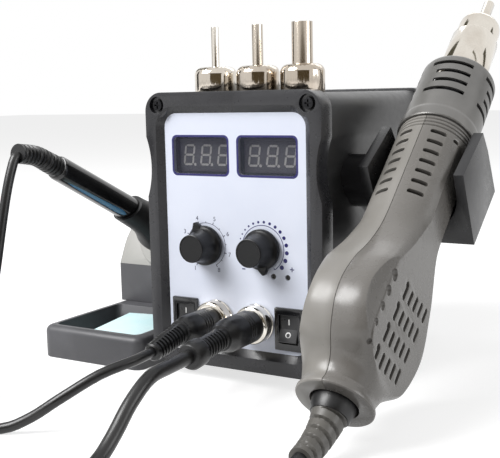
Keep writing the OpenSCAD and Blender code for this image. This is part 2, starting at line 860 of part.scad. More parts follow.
module slotted_cap() {
    inner = barrel_r - 1 + fit;
    color("#9a9996") in_handle() difference() {
        rotate_extrude() polygon([[inner, cap_s], [cap_r, cap_s], [cap_r, cap_s + 6], [cap_r - 0.4, cap_s + 7.5],
            [cap_r - 0.4, cap_end - 0.8], [cap_r - 1.2, cap_end], [tube_r + 0.4, cap_end], [tube_r + 0.4, cap_end - 2], [inner, cap_end - 2]]);
        for (row = [0:3]) difference() {
            washer(inner - 1, cap_r + 1, cap_s + 18.2 + 6.5 * row, cap_s + 20 + 6.5 * row);
            for (turn = [0, 90]) rotate([0, 0, turn + 37])
                translate([0, 0, cap_s + 29]) cube([8.5, 60, 40], center = true);
        }
    }
}

// the tube is a little wider where a nozzle's collar can clamp on it
module heater_tube() {
    color("#c8c4bc") in_handle() {
        washer(tube_bore, tube_r, seat_s, tube_end);
        washer(tube_bore, tube_r - 0.3, cap_s - 14, seat_s);
        washer(tube_bore, barrel_bore - fit, cap_s - 14, cap_s - 12);
    }
}

module heater_core() {
    color("#e8e4d8") in_handle() difference() {
        union() {
            disc(core_r, cap_s - 24, nozzle_s - 4);
            disc(tube_bore, cap_s - 13, cap_s - 9);
        }
        for (k = [0:5]) rotate([0, 0, 60 * k]) translate([4.6, 0, cap_s - 25]) cylinder(r = 1.6, h = 100);
    }
}

module fitted_nozzle() {
    in_handle() nozzle(nozzle_s, nozzle_shoulder, nozzle_tip, fitted_r);
}

module fan_impeller() {
    color("#22262c") in_handle() across_handle(pod_s) {
        washer(1 + fit, 7, -2, 9);
        washer(6.5, impeller_r, -2, -0.8);
        for (k = [0:10]) rotate([0, 0, 360 * k / 11]) translate([10, -0.6, -1]) cube([impeller_r - 11.5, 1.2, 10]);
    }
}

module fan_motor() {
    color("#8a8e92") in_handle() across_handle(pod_s) {
        disc(12, -pod_half + 3, -3);
        disc(1, -3, 8);
    }
}

module handle_tail_relief() {
    color("#1c1c1e") sweep(smooth(tail_relief_path, 2), smooth([8, 8, 6.4, 5.6, 5], 2), 1, 12, [1, 0, 0]);
}

module cradle_block(rise) {
    rotate([90, 0, 90]) linear_extrude(cradle_w, center = true)
        polygon([[-12 - rise, cap_s - jaw_l], [-7 - rise, cap_s - 0.4], [5, cap_s],
            [cradle_back, cap_s - 3.7], [cradle_back - 4, cap_s - jaw_l - 8.8]]);
}

module cradle() {
    color("#3a3a3c") difference() {
        union() {
            in_handle() difference() {
                union() {
                    cradle_block(0);
                    intersection() {
                        cradle_block(4);
                        translate([-cradle_half, -20, cap_s - 20]) cube([2 * (cradle_half - channel_r), 60, 60], center = true);
                    }
                }
                translate([0, -channel_lift, cap_s - 60]) cylinder(r = channel_r, h = 80);
                translate([-channel_r, -60, cap_s - 60]) cube([2 * channel_r, 60 - channel_lift, 80]);
                translate([0, barrel_r + 1, boss_s]) rotate([-90, 0, 0]) cylinder(r = 5 + fit, h = 4.5);
            }
            translate([half_w - 6, cradle_screw_y, boss_z]) rotate([0, 90, 0]) cylinder(r = 13, h = cradle_gap + 7);
        }
        upright(0, rear_y) case_outline(inset);
        for (z = cradle_screw_zs)
            translate([half_w - 5, cradle_screw_y, z]) rotate([0, 90, 0]) cylinder(r = 1.5, h = cradle_gap + 8);
    }
}

module cradle_screws() {
    screw_start = half_w - scallop - inset - wall - 3;
    color("#b8bcc0") for (z = cradle_screw_zs) translate([screw_start, cradle_screw_y, z]) rotate([0, 90, 0]) {
        disc(3.2, 0, 2);
        disc(1.5, 2, 12.5);
    }
}

module cradle_magnet() {
    color("#8a8e92") in_handle() translate([0, barrel_r + 1.4, boss_s]) rotate([-90, 0, 0]) cylinder(r = 5, h = 4.1);
}

module in_iron() {
    translate([stand_x, iron_y, iron_z]) rotate([-90 - iron_tilt, 0, 0]) children();
}

module iron_handle() {
    color("#0e0e10") in_iron() rotate_extrude() polygon([[0, handle_back_t], [iron_r - 0.8, handle_back_t], [iron_r, handle_back_t + 0.8],
        [iron_r, handle_end_t - 24], [iron_r - 0.6, handle_end_t], [0, handle_end_t]]);
}

module iron_grip() {
    color("#1a1a1c") in_iron() rotate_extrude() polygon([
        [iron_r, guard_t - 46.7], [8.6, guard_t - 47.1], [8.8, guard_t - 43.7], [9.2, guard_t - 33.7],
        [10, guard_t - 25.7], [guard_r - 2.6, guard_t - 18.7], [guard_r - 0.5, guard_t - 14.7],
        [guard_r, guard_t - 11.7], [guard_r, guard_t - 1], [guard_r - 1, guard_t], [grip_nose_r, guard_t],
        [grip_nose_r, nose_t - 3], [8, nose_t], [barrel_seat + fit, nose_t], [barrel_seat + fit, handle_end_t + 0.1],
        [iron_r - 0.6, handle_end_t], [iron_r, handle_end_t - 24]]);
}

module iron_barrel() {
    color("#c8c8c6") in_iron() rotate_extrude() polygon([
        [0, handle_end_t + 0.1], [barrel_seat, handle_end_t + 0.1], [barrel_seat, nose_t + 0.1],
        [7.5, nose_t + 0.1], [7.5, nose_t + 6], [6, nose_t + 7.5], [3.6, nose_t + 8], [3.6, barrel_tip_t],
        [tip_shank_r, barrel_tip_t + 1], [tip_shank_r, nose_t + 13], [0, nose_t + 13]]);
}

module iron_tip() {
    color("#b87848") in_iron() rotate_extrude() polygon([[0, nose_t + 13], [tip_shank_r, nose_t + 13], [tip_shank_r, barrel_tip_t + 2],
        [2.8, barrel_tip_t + 3], [2.8, barrel_tip_t + 7], [0.4, tip_t], [0, tip_t]]);
}

module iron_relief() {
    color("#1c1c1e") sweep(smooth(iron_relief_path, 2), smooth([5.4, 5.4, 5.4, 5, 4.6], 2), 1, 12, [1, 0, 0]);
}

module stand_base() {
    color("#56565a") difference() {
        translate([stand_x, (stand_front + stand_back) / 2, table_z]) linear_extrude(tray_h)
            rounded(stand_w, stand_back - stand_front, 6);
        translate([stand_x, (stand_front + 3.2 + pocket_back) / 2, table_z + 3]) linear_extrude(tray_h)
            rounded(stand_w - 7, pocket_back - stand_front - 3.2, 4);
    }
}

module stand_column() {
    color("#5c5c60") difference() {
        intersection() {
            translate([stand_x - stand_half, column_front, tray_top]) cube([stand_w, stand_back - 3 - column_front, 90]);
            in_iron() {
                translate([0, arch_drop, face_t]) cylinder(r = stand_half, h = 120, $fn = 96);
                translate([-stand_half, arch_drop, face_t - 60]) cube([stand_w, 120, 180]);
            }
            in_iron() translate([-stand_half, -60, face_t]) cube([stand_w, 200, 150]);
        }
        in_iron() disc(liner_r + fit, face_t - 1, face_t + holder_depth);
    }
}

module holder_liner() {
    color("#a8a8a4") in_iron() {
        washer(liner_bore, liner_r, face_t, face_t + 24);
        washer(liner_bore, 22, holder_ring_t, face_t);
    }
}

module sponge() {
    color("#d8f4f4") translate([stand_x + 7.9, 27, table_z + 3]) rotate([0, 0, 10])
        translate([-sponge_w / 2, -sponge_l / 2, 0]) cube([sponge_w, sponge_l, tray_h - 5]);
}

module cord_ring(centre, r, half_wide, z0, z1, bevel) {
    translate([centre[0], centre[1], 0]) rotate_extrude($fn = 48) polygon([
        [r - half_wide, z0 + bevel], [r - half_wide + bevel, z0], [r + half_wide - bevel, z0], [r + half_wide, z0 + bevel],
        [r + half_wide, z1 - bevel], [r + half_wide - bevel, z1], [r - half_wide + bevel, z1], [r - half_wide, z1 - bevel]]);
}

module iron_cord_lead() {
    color("#222224") sweep(iron_lead_path, same(iron_lead_path, iron_cord_r), 2, 8, [0, 0, 1]);
}

module iron_cord_coil() {
    color("#222224") cord_ring(iron_coil, iron_coil_r, 1.5 * iron_cord_d, table_z, table_z + 2 * iron_cord_d, 1.4);
}

module iron_cord_rise() {
    color("#222224") sweep(iron_rise_path, same(iron_rise_path, iron_cord_r), 2, 8, [1, 0, 0]);
}

module air_cord_lead() {
    color("#28282a") sweep(air_lead_path, same(air_lead_path, air_cord_r), 2, 8, [0, 0, 1]);
}

module air_cord_coil() {
    color("#28282a") cord_ring(air_coil, air_coil_r, air_cord_d, table_z, table_z + 2 * air_cord_d, 1.8);
}

module air_cord_tail() {
    color("#28282a") sweep(air_tail_path, same(air_tail_path, air_cord_r), 2, 8, [0, 0, 1]);
}

place() {
    case_sleeve();
    front_bezel();
    faceplate();
    rear_frame();
    rear_panel();
    case_screws();
    feet();
    main_board();
    transformer();
    mains_inlet();
    display_windows();
    display_modules();
    control_board();
    air_knob();
    heat_knob();
    potentiometers();
    air_shaft();
    heat_shaft();
    switch_housings();
    iron_rocker();
    air_rocker();
    left_trimmer_screw();
    right_trimmer_screw();
    panel_sockets();
    iron_plug_ring();
    air_plug_ring();
    iron_plug();
    air_plug();
    nozzle_posts();
    narrow_spare_nozzle();
    medium_spare_nozzle();
    wide_spare_nozzle();
    cradle();
    cradle_screws();
    cradle_magnet();
    handle_left_shell();
    handle_right_shell();
    slotted_cap();
    heater_tube();
    heater_core();
    fitted_nozzle();
    fan_impeller();
    fan_motor();
    handle_tail_relief();
    iron_handle();
    iron_grip();
    iron_barrel();
    iron_tip();
    iron_relief();
    stand_base();
    stand_column();
    holder_liner();
    sponge();
    iron_cord_lead();
    iron_cord_coil();
    iron_cord_rise();
    air_cord_lead();
    air_cord_coil();
    air_cord_tail();
}
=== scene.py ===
# %% [markdown]
# # A hot air rework station
#
# This lesson dresses a finished CAD model of a small rework station: a case with a front
# panel, a hot air handle in its cradle, and a soldering iron on its stand. The CAD model
# comes first and stays as it is. Each step then adds one piece or one finish.

# %% The CAD model
import json
import math
from math import cos, pi, radians, sin

import bmesh
import bpy
from mathutils import Matrix, Vector

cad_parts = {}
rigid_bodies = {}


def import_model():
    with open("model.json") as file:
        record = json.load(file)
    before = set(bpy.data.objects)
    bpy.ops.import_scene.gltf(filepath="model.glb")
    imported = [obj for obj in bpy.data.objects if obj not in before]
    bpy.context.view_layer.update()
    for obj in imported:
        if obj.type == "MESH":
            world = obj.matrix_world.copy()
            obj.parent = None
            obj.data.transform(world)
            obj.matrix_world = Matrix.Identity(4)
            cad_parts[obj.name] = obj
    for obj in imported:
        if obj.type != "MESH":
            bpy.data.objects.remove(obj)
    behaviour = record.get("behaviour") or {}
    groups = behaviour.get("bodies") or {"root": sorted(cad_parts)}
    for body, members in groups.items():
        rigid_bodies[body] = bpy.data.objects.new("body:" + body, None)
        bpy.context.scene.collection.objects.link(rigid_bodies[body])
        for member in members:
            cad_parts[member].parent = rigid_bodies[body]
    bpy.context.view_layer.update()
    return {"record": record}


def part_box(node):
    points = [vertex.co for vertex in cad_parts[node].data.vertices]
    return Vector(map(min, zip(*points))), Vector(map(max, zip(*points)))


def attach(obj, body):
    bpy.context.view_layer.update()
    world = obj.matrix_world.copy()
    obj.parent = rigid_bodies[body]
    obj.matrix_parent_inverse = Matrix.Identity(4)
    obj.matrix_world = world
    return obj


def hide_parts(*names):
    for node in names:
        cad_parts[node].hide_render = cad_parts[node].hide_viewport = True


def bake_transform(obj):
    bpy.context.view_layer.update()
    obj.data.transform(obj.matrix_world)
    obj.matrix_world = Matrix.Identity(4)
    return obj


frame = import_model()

# %% [markdown]
# ## Numbers and frames
#
# The pieces are drawn in millimetres, from the middle of the front panel: x to the right,
# y to the back and z up from the lower edge of the bezel. A frame is a matrix that takes
# such a drawing to its place in metres. The handle and the iron slope, so each has a frame
# of its own, with z along its axis.

# %% The frames
MM = 0.001
LIP = 3.0
UPRIGHT = (pi / 2, 0, 0)
bezel_low, bezel_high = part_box("front_bezel")
CASE_W = (bezel_high.x - bezel_low.x) / MM
CASE_H = (bezel_high.z - bezel_low.z) / MM
FOOT = bezel_low.z / MM
corner = Vector(((bezel_low.x + bezel_high.x) / 2, bezel_low.y + LIP * MM, bezel_low.z))
PANEL = Matrix.Translation(corner) @ Matrix.Scale(MM, 4)

HANDLE_TILT = radians(40.25)
IRON_TILT = radians(26)
HANDLE_AT = Vector((83, -60.1, 13.2))
IRON_AT = Vector((-90.4, -22.7, 99.3))
HANDLE = PANEL @ Matrix.Translation(HANDLE_AT) @ Matrix.Rotation(HANDLE_TILT - pi / 2, 4, "X")
IRON = PANEL @ Matrix.Translation(IRON_AT) @ Matrix.Rotation(-pi / 2 - IRON_TILT, 4, "X")


def about(axis, degrees):
    """A turn about one axis."""
    return Matrix.Rotation(radians(degrees), 4, axis)


def shifted(x, y, z):
    """A move along the three axes."""
    return Matrix.Translation((x, y, z))


def out_of(x, z):
    """The frame of a round piece that points out of the panel."""
    return PANEL @ shifted(x, 0, z) @ about("X", 90)


print("case", round(CASE_W, 1), "by", round(CASE_H, 1), "mm")

# %% [markdown]
# ## The camera
#
# The picture was taken from the right, a little above the panel, with a long lens. The
# camera stands at a point found from the panel's straight edges and the dials' rings, and
# it is turned, tipped and rolled in that order.

# %% Camera
CAMERA_AT = Vector((241.136, -386.042, 135.435))
CAMERA_TURN = radians(31.025)
CAMERA_DOWN = radians(8.167)
CAMERA_ROLL = radians(-1.229)
FOCAL_PIXELS = 937.839
PICTURE_W = 500
bpy.ops.object.camera_add()
camera = bpy.context.object
camera.name = "camera"
camera.data.sensor_width = 36
camera.data.lens = 36 * FOCAL_PIXELS / PICTURE_W
camera.data.clip_end = 20
camera.matrix_world = (
    Matrix.Translation(PANEL @ CAMERA_AT)
    @ Matrix.Rotation(CAMERA_TURN, 4, "Z")
    @ Matrix.Rotation(pi / 2 - CAMERA_DOWN, 4, "X")
    @ Matrix.Rotation(CAMERA_ROLL, 4, "Z")
)
bpy.context.scene.camera = camera
print("lens", round(camera.data.lens, 2), "mm")

# %% [markdown]
# ## Floor and light
#
# A pale floor and a white room. What the camera, a mirror or a clear piece sees of the
# floor gets a little light of its own, so it reads as white, while the shadow stays. Three
# large soft lamps light the object at a plain level: one over the left shoulder, one from
# the right, and one behind for the rims. A wide brown card beside the camera, a dark one on
# the left, and three narrow ones behind and above the object give the bright metal and the
# gloss something dark to show. Neither the camera nor a matt surface sees them.

# %% Small tools for node trees
def tree_of(owner):
    """The emptied node tree of a material or a world."""
    owner.use_nodes = True
    tree = owner.node_tree
    tree.nodes.clear()
    return tree


def add(tree, kind, **settings):
    """A new node with its settings."""
    node = tree.nodes.new(kind)
    for name, value in settings.items():
        setattr(node, name, value)
    return node


def feed(socket, value):
    """Links an input to the output of another node, or gives it a plain value."""
    if isinstance(value, bpy.types.NodeSocket):
        socket.id_data.links.new(value, socket)
    else:
        socket.default_value = value


def set_in(node, *values, **named_values):
    """Feeds the first inputs of a node in order, and others by name, with _ for a space."""
    for socket, value in zip(node.inputs, values):
        feed(socket, value)
    for name, value in named_values.items():
        feed(node.inputs[name.replace("_", " ")], value)
    return node


def maths(tree, operation, *values):
    return set_in(add(tree, "ShaderNodeMath", operation=operation), *values).outputs[0]


# %% Floor and room
FLOOR_GREY = 0.5
ROOM_STRENGTH = 0.28
SEEN_STRENGTH = 0.72


def bright_where_seen(tree, shader, output):
    """Ends a tree in the shader and light that only the camera and mirror or clear rays see."""
    rays = add(tree, "ShaderNodeLightPath").outputs
    mirrored = maths(tree, "MAXIMUM", rays["Is Glossy Ray"], rays["Is Transmission Ray"])
    seen = maths(tree, "MAXIMUM", rays["Is Camera Ray"], mirrored)
    glow = set_in(add(tree, "ShaderNodeEmission"), Strength=maths(tree, "MULTIPLY", seen, SEEN_STRENGTH))
    total = set_in(add(tree, "ShaderNodeAddShader"), shader.outputs[0], glow.outputs[0])
    set_in(add(tree, output), Surface=total.outputs[0])


bpy.ops.mesh.primitive_plane_add(size=12)
floor = bpy.context.object
floor.name = "floor"
floor_white = bpy.data.materials.new("floor_white")
tree = tree_of(floor_white)
paint = set_in(add(tree, "ShaderNodeBsdfDiffuse"), Color=(FLOOR_GREY, FLOOR_GREY, FLOOR_GREY, 1))
bright_where_seen(tree, paint, "ShaderNodeOutputMaterial")
floor.data.materials.append(floor_white)

world = bpy.data.worlds.new("room")
bpy.context.scene.world = world
tree = tree_of(world)
room = set_in(add(tree, "ShaderNodeBackground"), Color=(1, 1, 1, 1), Strength=ROOM_STRENGTH)
bright_where_seen(tree, room, "ShaderNodeOutputWorld")


# %% Lamps and cards
def facing(start, end, axis="Z"):
    """The turn that points an axis from one place to another."""
    return (Vector(end) - Vector(start)).to_track_quat(axis, "Y").to_euler()


def lamp(name, place, aim, size, power):
    bpy.ops.object.light_add(type="AREA", location=place)
    light = bpy.context.object
    light.name = name
    light.data.shape = "RECTANGLE"
    light.data.size, light.data.size_y = size
    light.data.energy = power
    light.rotation_euler = facing(place, aim, "-Z")


lamp("lamp_left", (-0.6, -0.8, 1.1), (0, 0, 0.08), (0.8, 0.8), 27)
lamp("lamp_right", (1.1, 0.15, 0.45), (0.05, 0, 0.1), (0.5, 0.5), 3)
lamp("lamp_behind", (-0.1, 1.0, 0.9), (0, 0, 0.12), (1.0, 0.4), 1.6)


def card(name, place, aim, size, colour):
    """A card of one colour that only mirroring surfaces see."""
    bpy.ops.mesh.primitive_plane_add(size=1, location=place)
    sheet = bpy.context.object
    sheet.name = name
    sheet.scale = (*size, 1)
    sheet.rotation_euler = facing(place, aim)
    for ray in ("camera", "diffuse", "shadow", "transmission"):
        setattr(sheet, "visible_" + ray, False)
    paint = bpy.data.materials.new(name)
    tree = tree_of(paint)
    glow = set_in(add(tree, "ShaderNodeEmission"), Color=(*colour, 1))
    set_in(add(tree, "ShaderNodeOutputMaterial"), Surface=glow.outputs[0])
    sheet.data.materials.append(paint)


card("card_front", (0.62, -1.02, 0.35), (0, 0, 0.12), (1.5, 0.75), (0.11, 0.085, 0.05))
card("card_left", (-0.95, -0.1, 0.2), (0, 0, 0.1), (0.25, 0.8), (0.02, 0.018, 0.015))
card("card_back_left", (-0.88, 0.5, 0.89), (0.1, 0.12, 0.3), (0.4, 0.9), (0.1, 0.095, 0.07))
card("card_back_right", (0.99, 0.88, 0.44), (0.1, 0.12, 0.3), (0.18, 0.8), (0.1, 0.095, 0.07))
card("card_above", (0.94, 0.29, 1.13), (0.1, 0.12, 0.3), (0.07, 0.8), (0.2, 0.19, 0.15))
bpy.context.scene.view_settings.view_transform = "Standard"

# %% [markdown]
# ## Small tools for modelling
#
# Most new pieces start as one of Blender's primitives, and are shaped in edit mode. Each is
# then settled: its frame is applied, so that its own object sits at the origin. A round
# piece is one vertex pulled out into half of its section and spun about the axis. A plate
# is a plane with its corners rounded, pulled out to its thickness. Only the cords and the
# lofts, further on, are made from their points.

# %% Starting and settling a piece
def clear_choice():
    bpy.ops.object.select_all(action="DESELECT")


def named(piece, name):
    piece.name = name
    piece.data.name = name
    return piece


def fresh(name):
    """The piece just made, with its name and with its place put into its mesh."""
    bpy.ops.object.transform_apply(location=True, rotation=True, scale=True)
    return named(bpy.context.object, name)


def only(piece):
    clear_choice()
    piece.select_set(True)
    bpy.context.view_layer.objects.active = piece


def edit(piece):
    only(piece)
    bpy.ops.object.mode_set(mode="EDIT")
    bpy.ops.mesh.select_all(action="SELECT")


def leave():
    bpy.ops.mesh.select_mode(type="VERT")
    bpy.ops.object.mode_set(mode="OBJECT")


def tidy_faces():
    bpy.ops.mesh.select_all(action="SELECT")
    bpy.ops.mesh.remove_doubles(threshold=0.0005)
    bpy.ops.mesh.normals_make_consistent(inside=False)


def pull(points):
    """Pulls the chosen vertex on along the points, one edge at a time, as the E key does."""
    for start, end in zip(points, points[1:]):
        step = Vector(end) - Vector(start)
        bpy.ops.mesh.extrude_region_move(TRANSFORM_OT_translate={"value": step})


def wire(name, points):
    clear_choice()
    bpy.ops.mesh.primitive_circle_add(vertices=3, radius=1, location=points[0])
    piece = fresh(name)
    edit(piece)
    bpy.ops.mesh.merge(type="CENTER")
    pull(points)
    return piece


# %% Round pieces, outlines and blocks
def turned(name, section, steps=72):
    """A round piece about z, from its half section; one that keeps off the axis is closed."""
    closing = section[:1] if section[0][0] > 0 else []
    piece = wire(name, [(r, 0, z) for r, z in [*section, *closing]])
    bpy.ops.mesh.select_all(action="SELECT")
    bpy.ops.mesh.spin(steps=steps, angle=2 * pi, center=(0, 0, 0), axis=(0, 0, 1))
    tidy_faces()
    leave()
    return piece


def cut_out(name, points, depth):
    """A solid from a closed outline and the way and length that it is pulled out."""
    piece = wire(name, points)
    bpy.ops.mesh.select_all(action="SELECT")
    bpy.ops.mesh.edge_face_add()
    bpy.ops.mesh.extrude_region_move(TRANSFORM_OT_translate={"value": depth})
    tidy_faces()
    leave()
    return piece


def plate(name, width, height, radius, y0, y1, x=0, z=0, segments=8):
    """An upright plate with round corners, from y0 back to y1."""
    clear_choice()
    bpy.ops.mesh.primitive_plane_add(size=1, location=(x, y0, z), rotation=UPRIGHT)
    bpy.context.object.scale = (width, height, 1)
    piece = fresh(name)
    edit(piece)
    if radius:
        bpy.ops.mesh.bevel(offset=radius, segments=segments, affect="VERTICES")
    bpy.ops.mesh.extrude_region_move(TRANSFORM_OT_translate={"value": (0, y1 - y0, 0)})
    tidy_faces()
    leave()
    return piece


def block(name, low, high):
    clear_choice()
    middle = [(a + b) / 2 for a, b in zip(low, high)]
    bpy.ops.mesh.primitive_cube_add(size=1, location=middle)
    bpy.context.object.scale = [b - a for a, b in zip(low, high)]
    return fresh(name)


def rod(name, radius, start, end, sides):
    """A plain rod between two points, for cutting a hole."""
    clear_choice()
    bpy.ops.mesh.primitive_cylinder_add(vertices=sides, radius=radius, depth=(end - start).length,
                                        location=(start + end) / 2, rotation=facing(start, end))
    return fresh(name)


# %% Modifiers and joining
def apply_modifier(piece, kind, **settings):
    only(piece)
    modifier = piece.modifiers.new(kind.lower(), kind)
    for name, value in settings.items():
        setattr(modifier, name, value)
    bpy.ops.object.modifier_apply(modifier=modifier.name)
    return piece


def soften(piece, width, segments=2, angle=28):
    """Rounds the edges where two faces meet at more than the angle. The clamp holds all
    edges of a piece to the width that its tightest place allows."""
    return apply_modifier(piece, "BEVEL", width=width, segments=segments, limit_method="ANGLE",
                          angle_limit=radians(angle), use_clamp_overlap=True)


def join(pieces, name=None):
    clear_choice()
    for piece in pieces:
        piece.select_set(True)
    bpy.context.view_layer.objects.active = pieces[0]
    if len(pieces) > 1:
        bpy.ops.object.join()
    return named(bpy.context.object, name) if name else bpy.context.object


def carve(piece, cutters, way="DIFFERENCE"):
    """Cuts the cutters, which don't touch each other, out of the piece, or keeps what they share."""
    cutter = join(list(cutters))
    apply_modifier(piece, "BOOLEAN", operation=way, object=cutter, solver="EXACT")
    bpy.data.objects.remove(cutter)
    return piece


def move(piece, matrix):
    """Turns and moves a piece, and puts its place into its mesh."""
    only(piece)
    piece.matrix_world = matrix
    bpy.ops.object.transform_apply(location=True, rotation=True, scale=True)
    return piece


def copy_of(piece, name, matrix=Matrix.Identity(4)):
    only(piece)
    bpy.ops.object.duplicate(linked=False)
    return move(named(bpy.context.object, name), matrix)


# %% [markdown]
# ## Cords
#
# Two rubber cords lead from the plugs to the iron and to the hot air handle. Each is about
# a metre long. The picture shows only the ends, so the rest lies in a round coil just
# outside the view. Each cord is made of two tubes that follow one smooth line: the tube
# with the coil stays with the case, and the last stretch, up to the tool, is a tube of its
# own.

# %% Routes of the cords
IRON_CORD_D = 4.8
AIR_CORD_D = 6.4
SOCKET_Z = 24.6
IRON_SOCKET_X = -11
AIR_SOCKET_X = 12.2
PLUG_L = 33
IRON_NECK_L, IRON_DROOP = 23, radians(11)
AIR_NECK_L, AIR_DROOP = 27, radians(5.2)
IRON_COIL, IRON_COIL_R = Vector((-115, -105, 0)), 27
AIR_COIL, AIR_COIL_R = Vector((89, -159, 0)), 34
RELIEF_T, RELIEF_SAG = -31, 4
iron_rest = -FOOT + IRON_CORD_D / 2
air_rest = -FOOT + AIR_CORD_D / 2


def neck_end(x, length, droop):
    return Vector((x, -PLUG_L - length * cos(droop), SOCKET_Z - length * sin(droop)))


iron_neck_end = neck_end(IRON_SOCKET_X, IRON_NECK_L, IRON_DROOP)
air_neck_end = neck_end(AIR_SOCKET_X, AIR_NECK_L, AIR_DROOP)
iron_relief_end = IRON_AT + Vector((
    0,
    RELIEF_T * cos(IRON_TILT) - RELIEF_SAG * sin(IRON_TILT),
    -RELIEF_T * sin(IRON_TILT) - RELIEF_SAG * cos(IRON_TILT),
))
air_relief_end = HANDLE_AT + Vector((0, -30, -13.6))
iron_lead = [
    iron_neck_end + Vector((0, 3, 0.6)), iron_neck_end + Vector((-0.6, -12, -0.4)),
    (-20, -81.5, 16), (-32, -94.5, 7), (-43, -101.5, -1), (-54, -108, iron_rest),
    (-72, -118, iron_rest), (-90, -129, iron_rest),
]
iron_rise = [
    iron_relief_end + Vector((0, 3, -1.4)), iron_relief_end + Vector((0, -1.5, -1.5)),
    (-90.4, -57.5, 101), (-90.4, -61.5, 90), (-90.4, -66, 74), (-90.4, -71, 55),
    (-91.5, -75.5, 37), (-95, -78.5, 20), (-102, -79, 8), (-106.6, -78.8, 4.3),
]
air_lead = [
    air_neck_end + Vector((0, 3, 0.3)), air_neck_end + Vector((-0.1, -14, -0.2)),
    (12, -88, 20.8), (11.8, -101, 13.5), (11.6, -111, 4.5), (12, -121, -2), (14, -134, air_rest),
    (22, -150, air_rest), (38, -167, air_rest), (60, -181, air_rest),
]
air_tail = [
    air_relief_end + Vector((0, 3, 1.2)), air_relief_end + Vector((0, -6, -1.6)),
    (84.3, -101.5, air_rest + 0.6), (87.2, -106.6, air_rest), (91.7, -111.4, air_rest),
    (97.3, -116.4, air_rest),
]


# %% Turns of a coil
def coil_points(middle, slots, first, last, way, thick, rest):
    """Points of a coil: slots gives the radius and the layer of each turn in order."""
    travel = (way * (last - first)) % 360 + 360 * (len(slots) - 1)
    step = 20
    points = []
    for k in range(int(travel / step) + 1):
        turn = k * step / 360
        now = min(int(turn), len(slots) - 1)
        share = min((turn - now) * 6, 1)
        share = share * share * (3 - 2 * share)
        before = slots[max(now - 1, 0)]
        radius = before[0] + (slots[now][0] - before[0]) * share
        layer = before[1] + (slots[now][1] - before[1]) * share
        angle = radians(first + way * k * step)
        across = Vector((radius * cos(angle), radius * sin(angle), rest + layer * thick))
        points.append(middle + across)
    return points


def eased(points, steps):
    """More points on the smooth curve through the given ones."""
    points = [Vector(p) for p in points]
    ends = [2 * points[0] - points[1], *points, 2 * points[-1] - points[-2]]
    line = []
    for a, b, c, d in zip(ends, ends[1:], ends[2:], ends[3:]):
        for k in range(steps):
            t = k / steps
            line.append(b + t * (c - a) / 2 + t * t * (2 * a - 5 * b + 4 * c - d) / 2
                        + t ** 3 * (3 * b - a - 3 * c + d) / 2)
    return line + [points[-1]]


# %% Tubes of the cords
def tube(name, line, diameter):
    """A rubber tube along a line, made from a curve with a round bevel."""
    curve = bpy.data.curves.new(name, "CURVE")
    curve.dimensions = "3D"
    curve.bevel_depth = diameter / 2 * MM
    curve.bevel_resolution = 4
    curve.use_fill_caps = True
    spline = curve.splines.new("POLY")
    spline.points.add(len(line) - 1)
    for point, place in zip(spline.points, line):
        point.co = (*place, 1)
    piece = bpy.data.objects.new(name, curve)
    bpy.context.collection.objects.link(piece)
    only(piece)
    bpy.ops.object.convert(target="MESH")
    bpy.ops.object.shade_smooth()
    return piece


def length_of(line):
    return sum((b - a).length for a, b in zip(line, line[1:]))


def free_cord(name, lead, coil, rise, diameter, coil_nodes, rise_nodes):
    """Both tubes of one cord on one smooth line, the first of which stays with the case."""
    steps = 4
    route = [Vector(p) for p in lead] + coil + [Vector(p) for p in reversed(rise)]
    line = [PANEL @ p for p in eased(route, steps)]
    split = (len(lead) + len(coil) - 1) * steps
    lying, rising = line[: split + 1], line[split:]
    rising.reverse()
    first = tube(name, lying, diameter)
    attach(first, "station")
    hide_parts(*coil_nodes)
    second = tube(name + "_end", rising, diameter)
    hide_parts(*rise_nodes)
    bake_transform(second)
    print(name, "lying", round(length_of(lying), 3), "m, rising", round(length_of(rising), 3), "m")
    return first, second


def stacked(radius, diameter, places):
    """The radius and layer of each turn, from its place across the coil."""
    return [(radius + across * diameter, layer) for across, layer in places]


iron_slots = stacked(IRON_COIL_R, IRON_CORD_D, [(1, 0), (0, 0), (-1, 0), (-1, 1), (1, 1), (0, 1)])
iron_turns = coil_points(IRON_COIL, iron_slots, -90, 78, -1, IRON_CORD_D, iron_rest)
iron_tubes = free_cord("iron_cord", iron_lead, iron_turns, iron_rise, IRON_CORD_D,
                       ["iron_cord_lead", "iron_cord_coil"], ["iron_cord_rise"])
air_slots = stacked(AIR_COIL_R, AIR_CORD_D, [(-0.5, 0), (-0.5, 1), (0.5, 1), (0.5, 0)])
air_turns = coil_points(AIR_COIL, air_slots, -98, 42, 1, AIR_CORD_D, air_rest)
air_tubes = free_cord("air_cord", air_lead, air_turns, air_tail, AIR_CORD_D,
                      ["air_cord_lead", "air_cord_coil"], ["air_cord_tail"])

# %% [markdown]
# ## Finishes
#
# No real surface is one flat colour. Moulded plastic has a fine grain and a gloss that
# changes a little where hands have been, and drawn metal has streaks along its length. One
# node group makes all of these: a fine noise for the grain, a slow one for the tone, and a
# middle one for the gloss. Each finish places the group with its own sizes, and a stretch
# of the pattern turns the grain into streaks.

# %% The group behind every surface
def linear(colour):
    """A colour as a screen shows it, three numbers from 0 to 255, in the shader's own numbers."""
    shares = [value / 255 for value in colour]
    return (*[v / 12.92 if v < 0.04045 else ((v + 0.055) / 1.055) ** 2.4 for v in shares], 1)


surface = bpy.data.node_groups.new("worked_surface", "ShaderNodeTree")
SOCKETS = {
    "INPUT": {"Vector": "Vector", "Stretch": "Vector", "Colour": "Color", "Second colour": "Color",
              "Grain": "Float", "Tone": "Float", "Gloss": "Float", "Uneven": "Float", "Patches": "Float"},
    "OUTPUT": {"Colour": "Color", "Roughness": "Float", "Height": "Float"},
}
for way, sockets in SOCKETS.items():
    for name, kind in sockets.items():
        surface.interface.new_socket(name, in_out=way, socket_type="NodeSocket" + kind)


def work(operation, *values):
    return maths(surface, operation, *values)


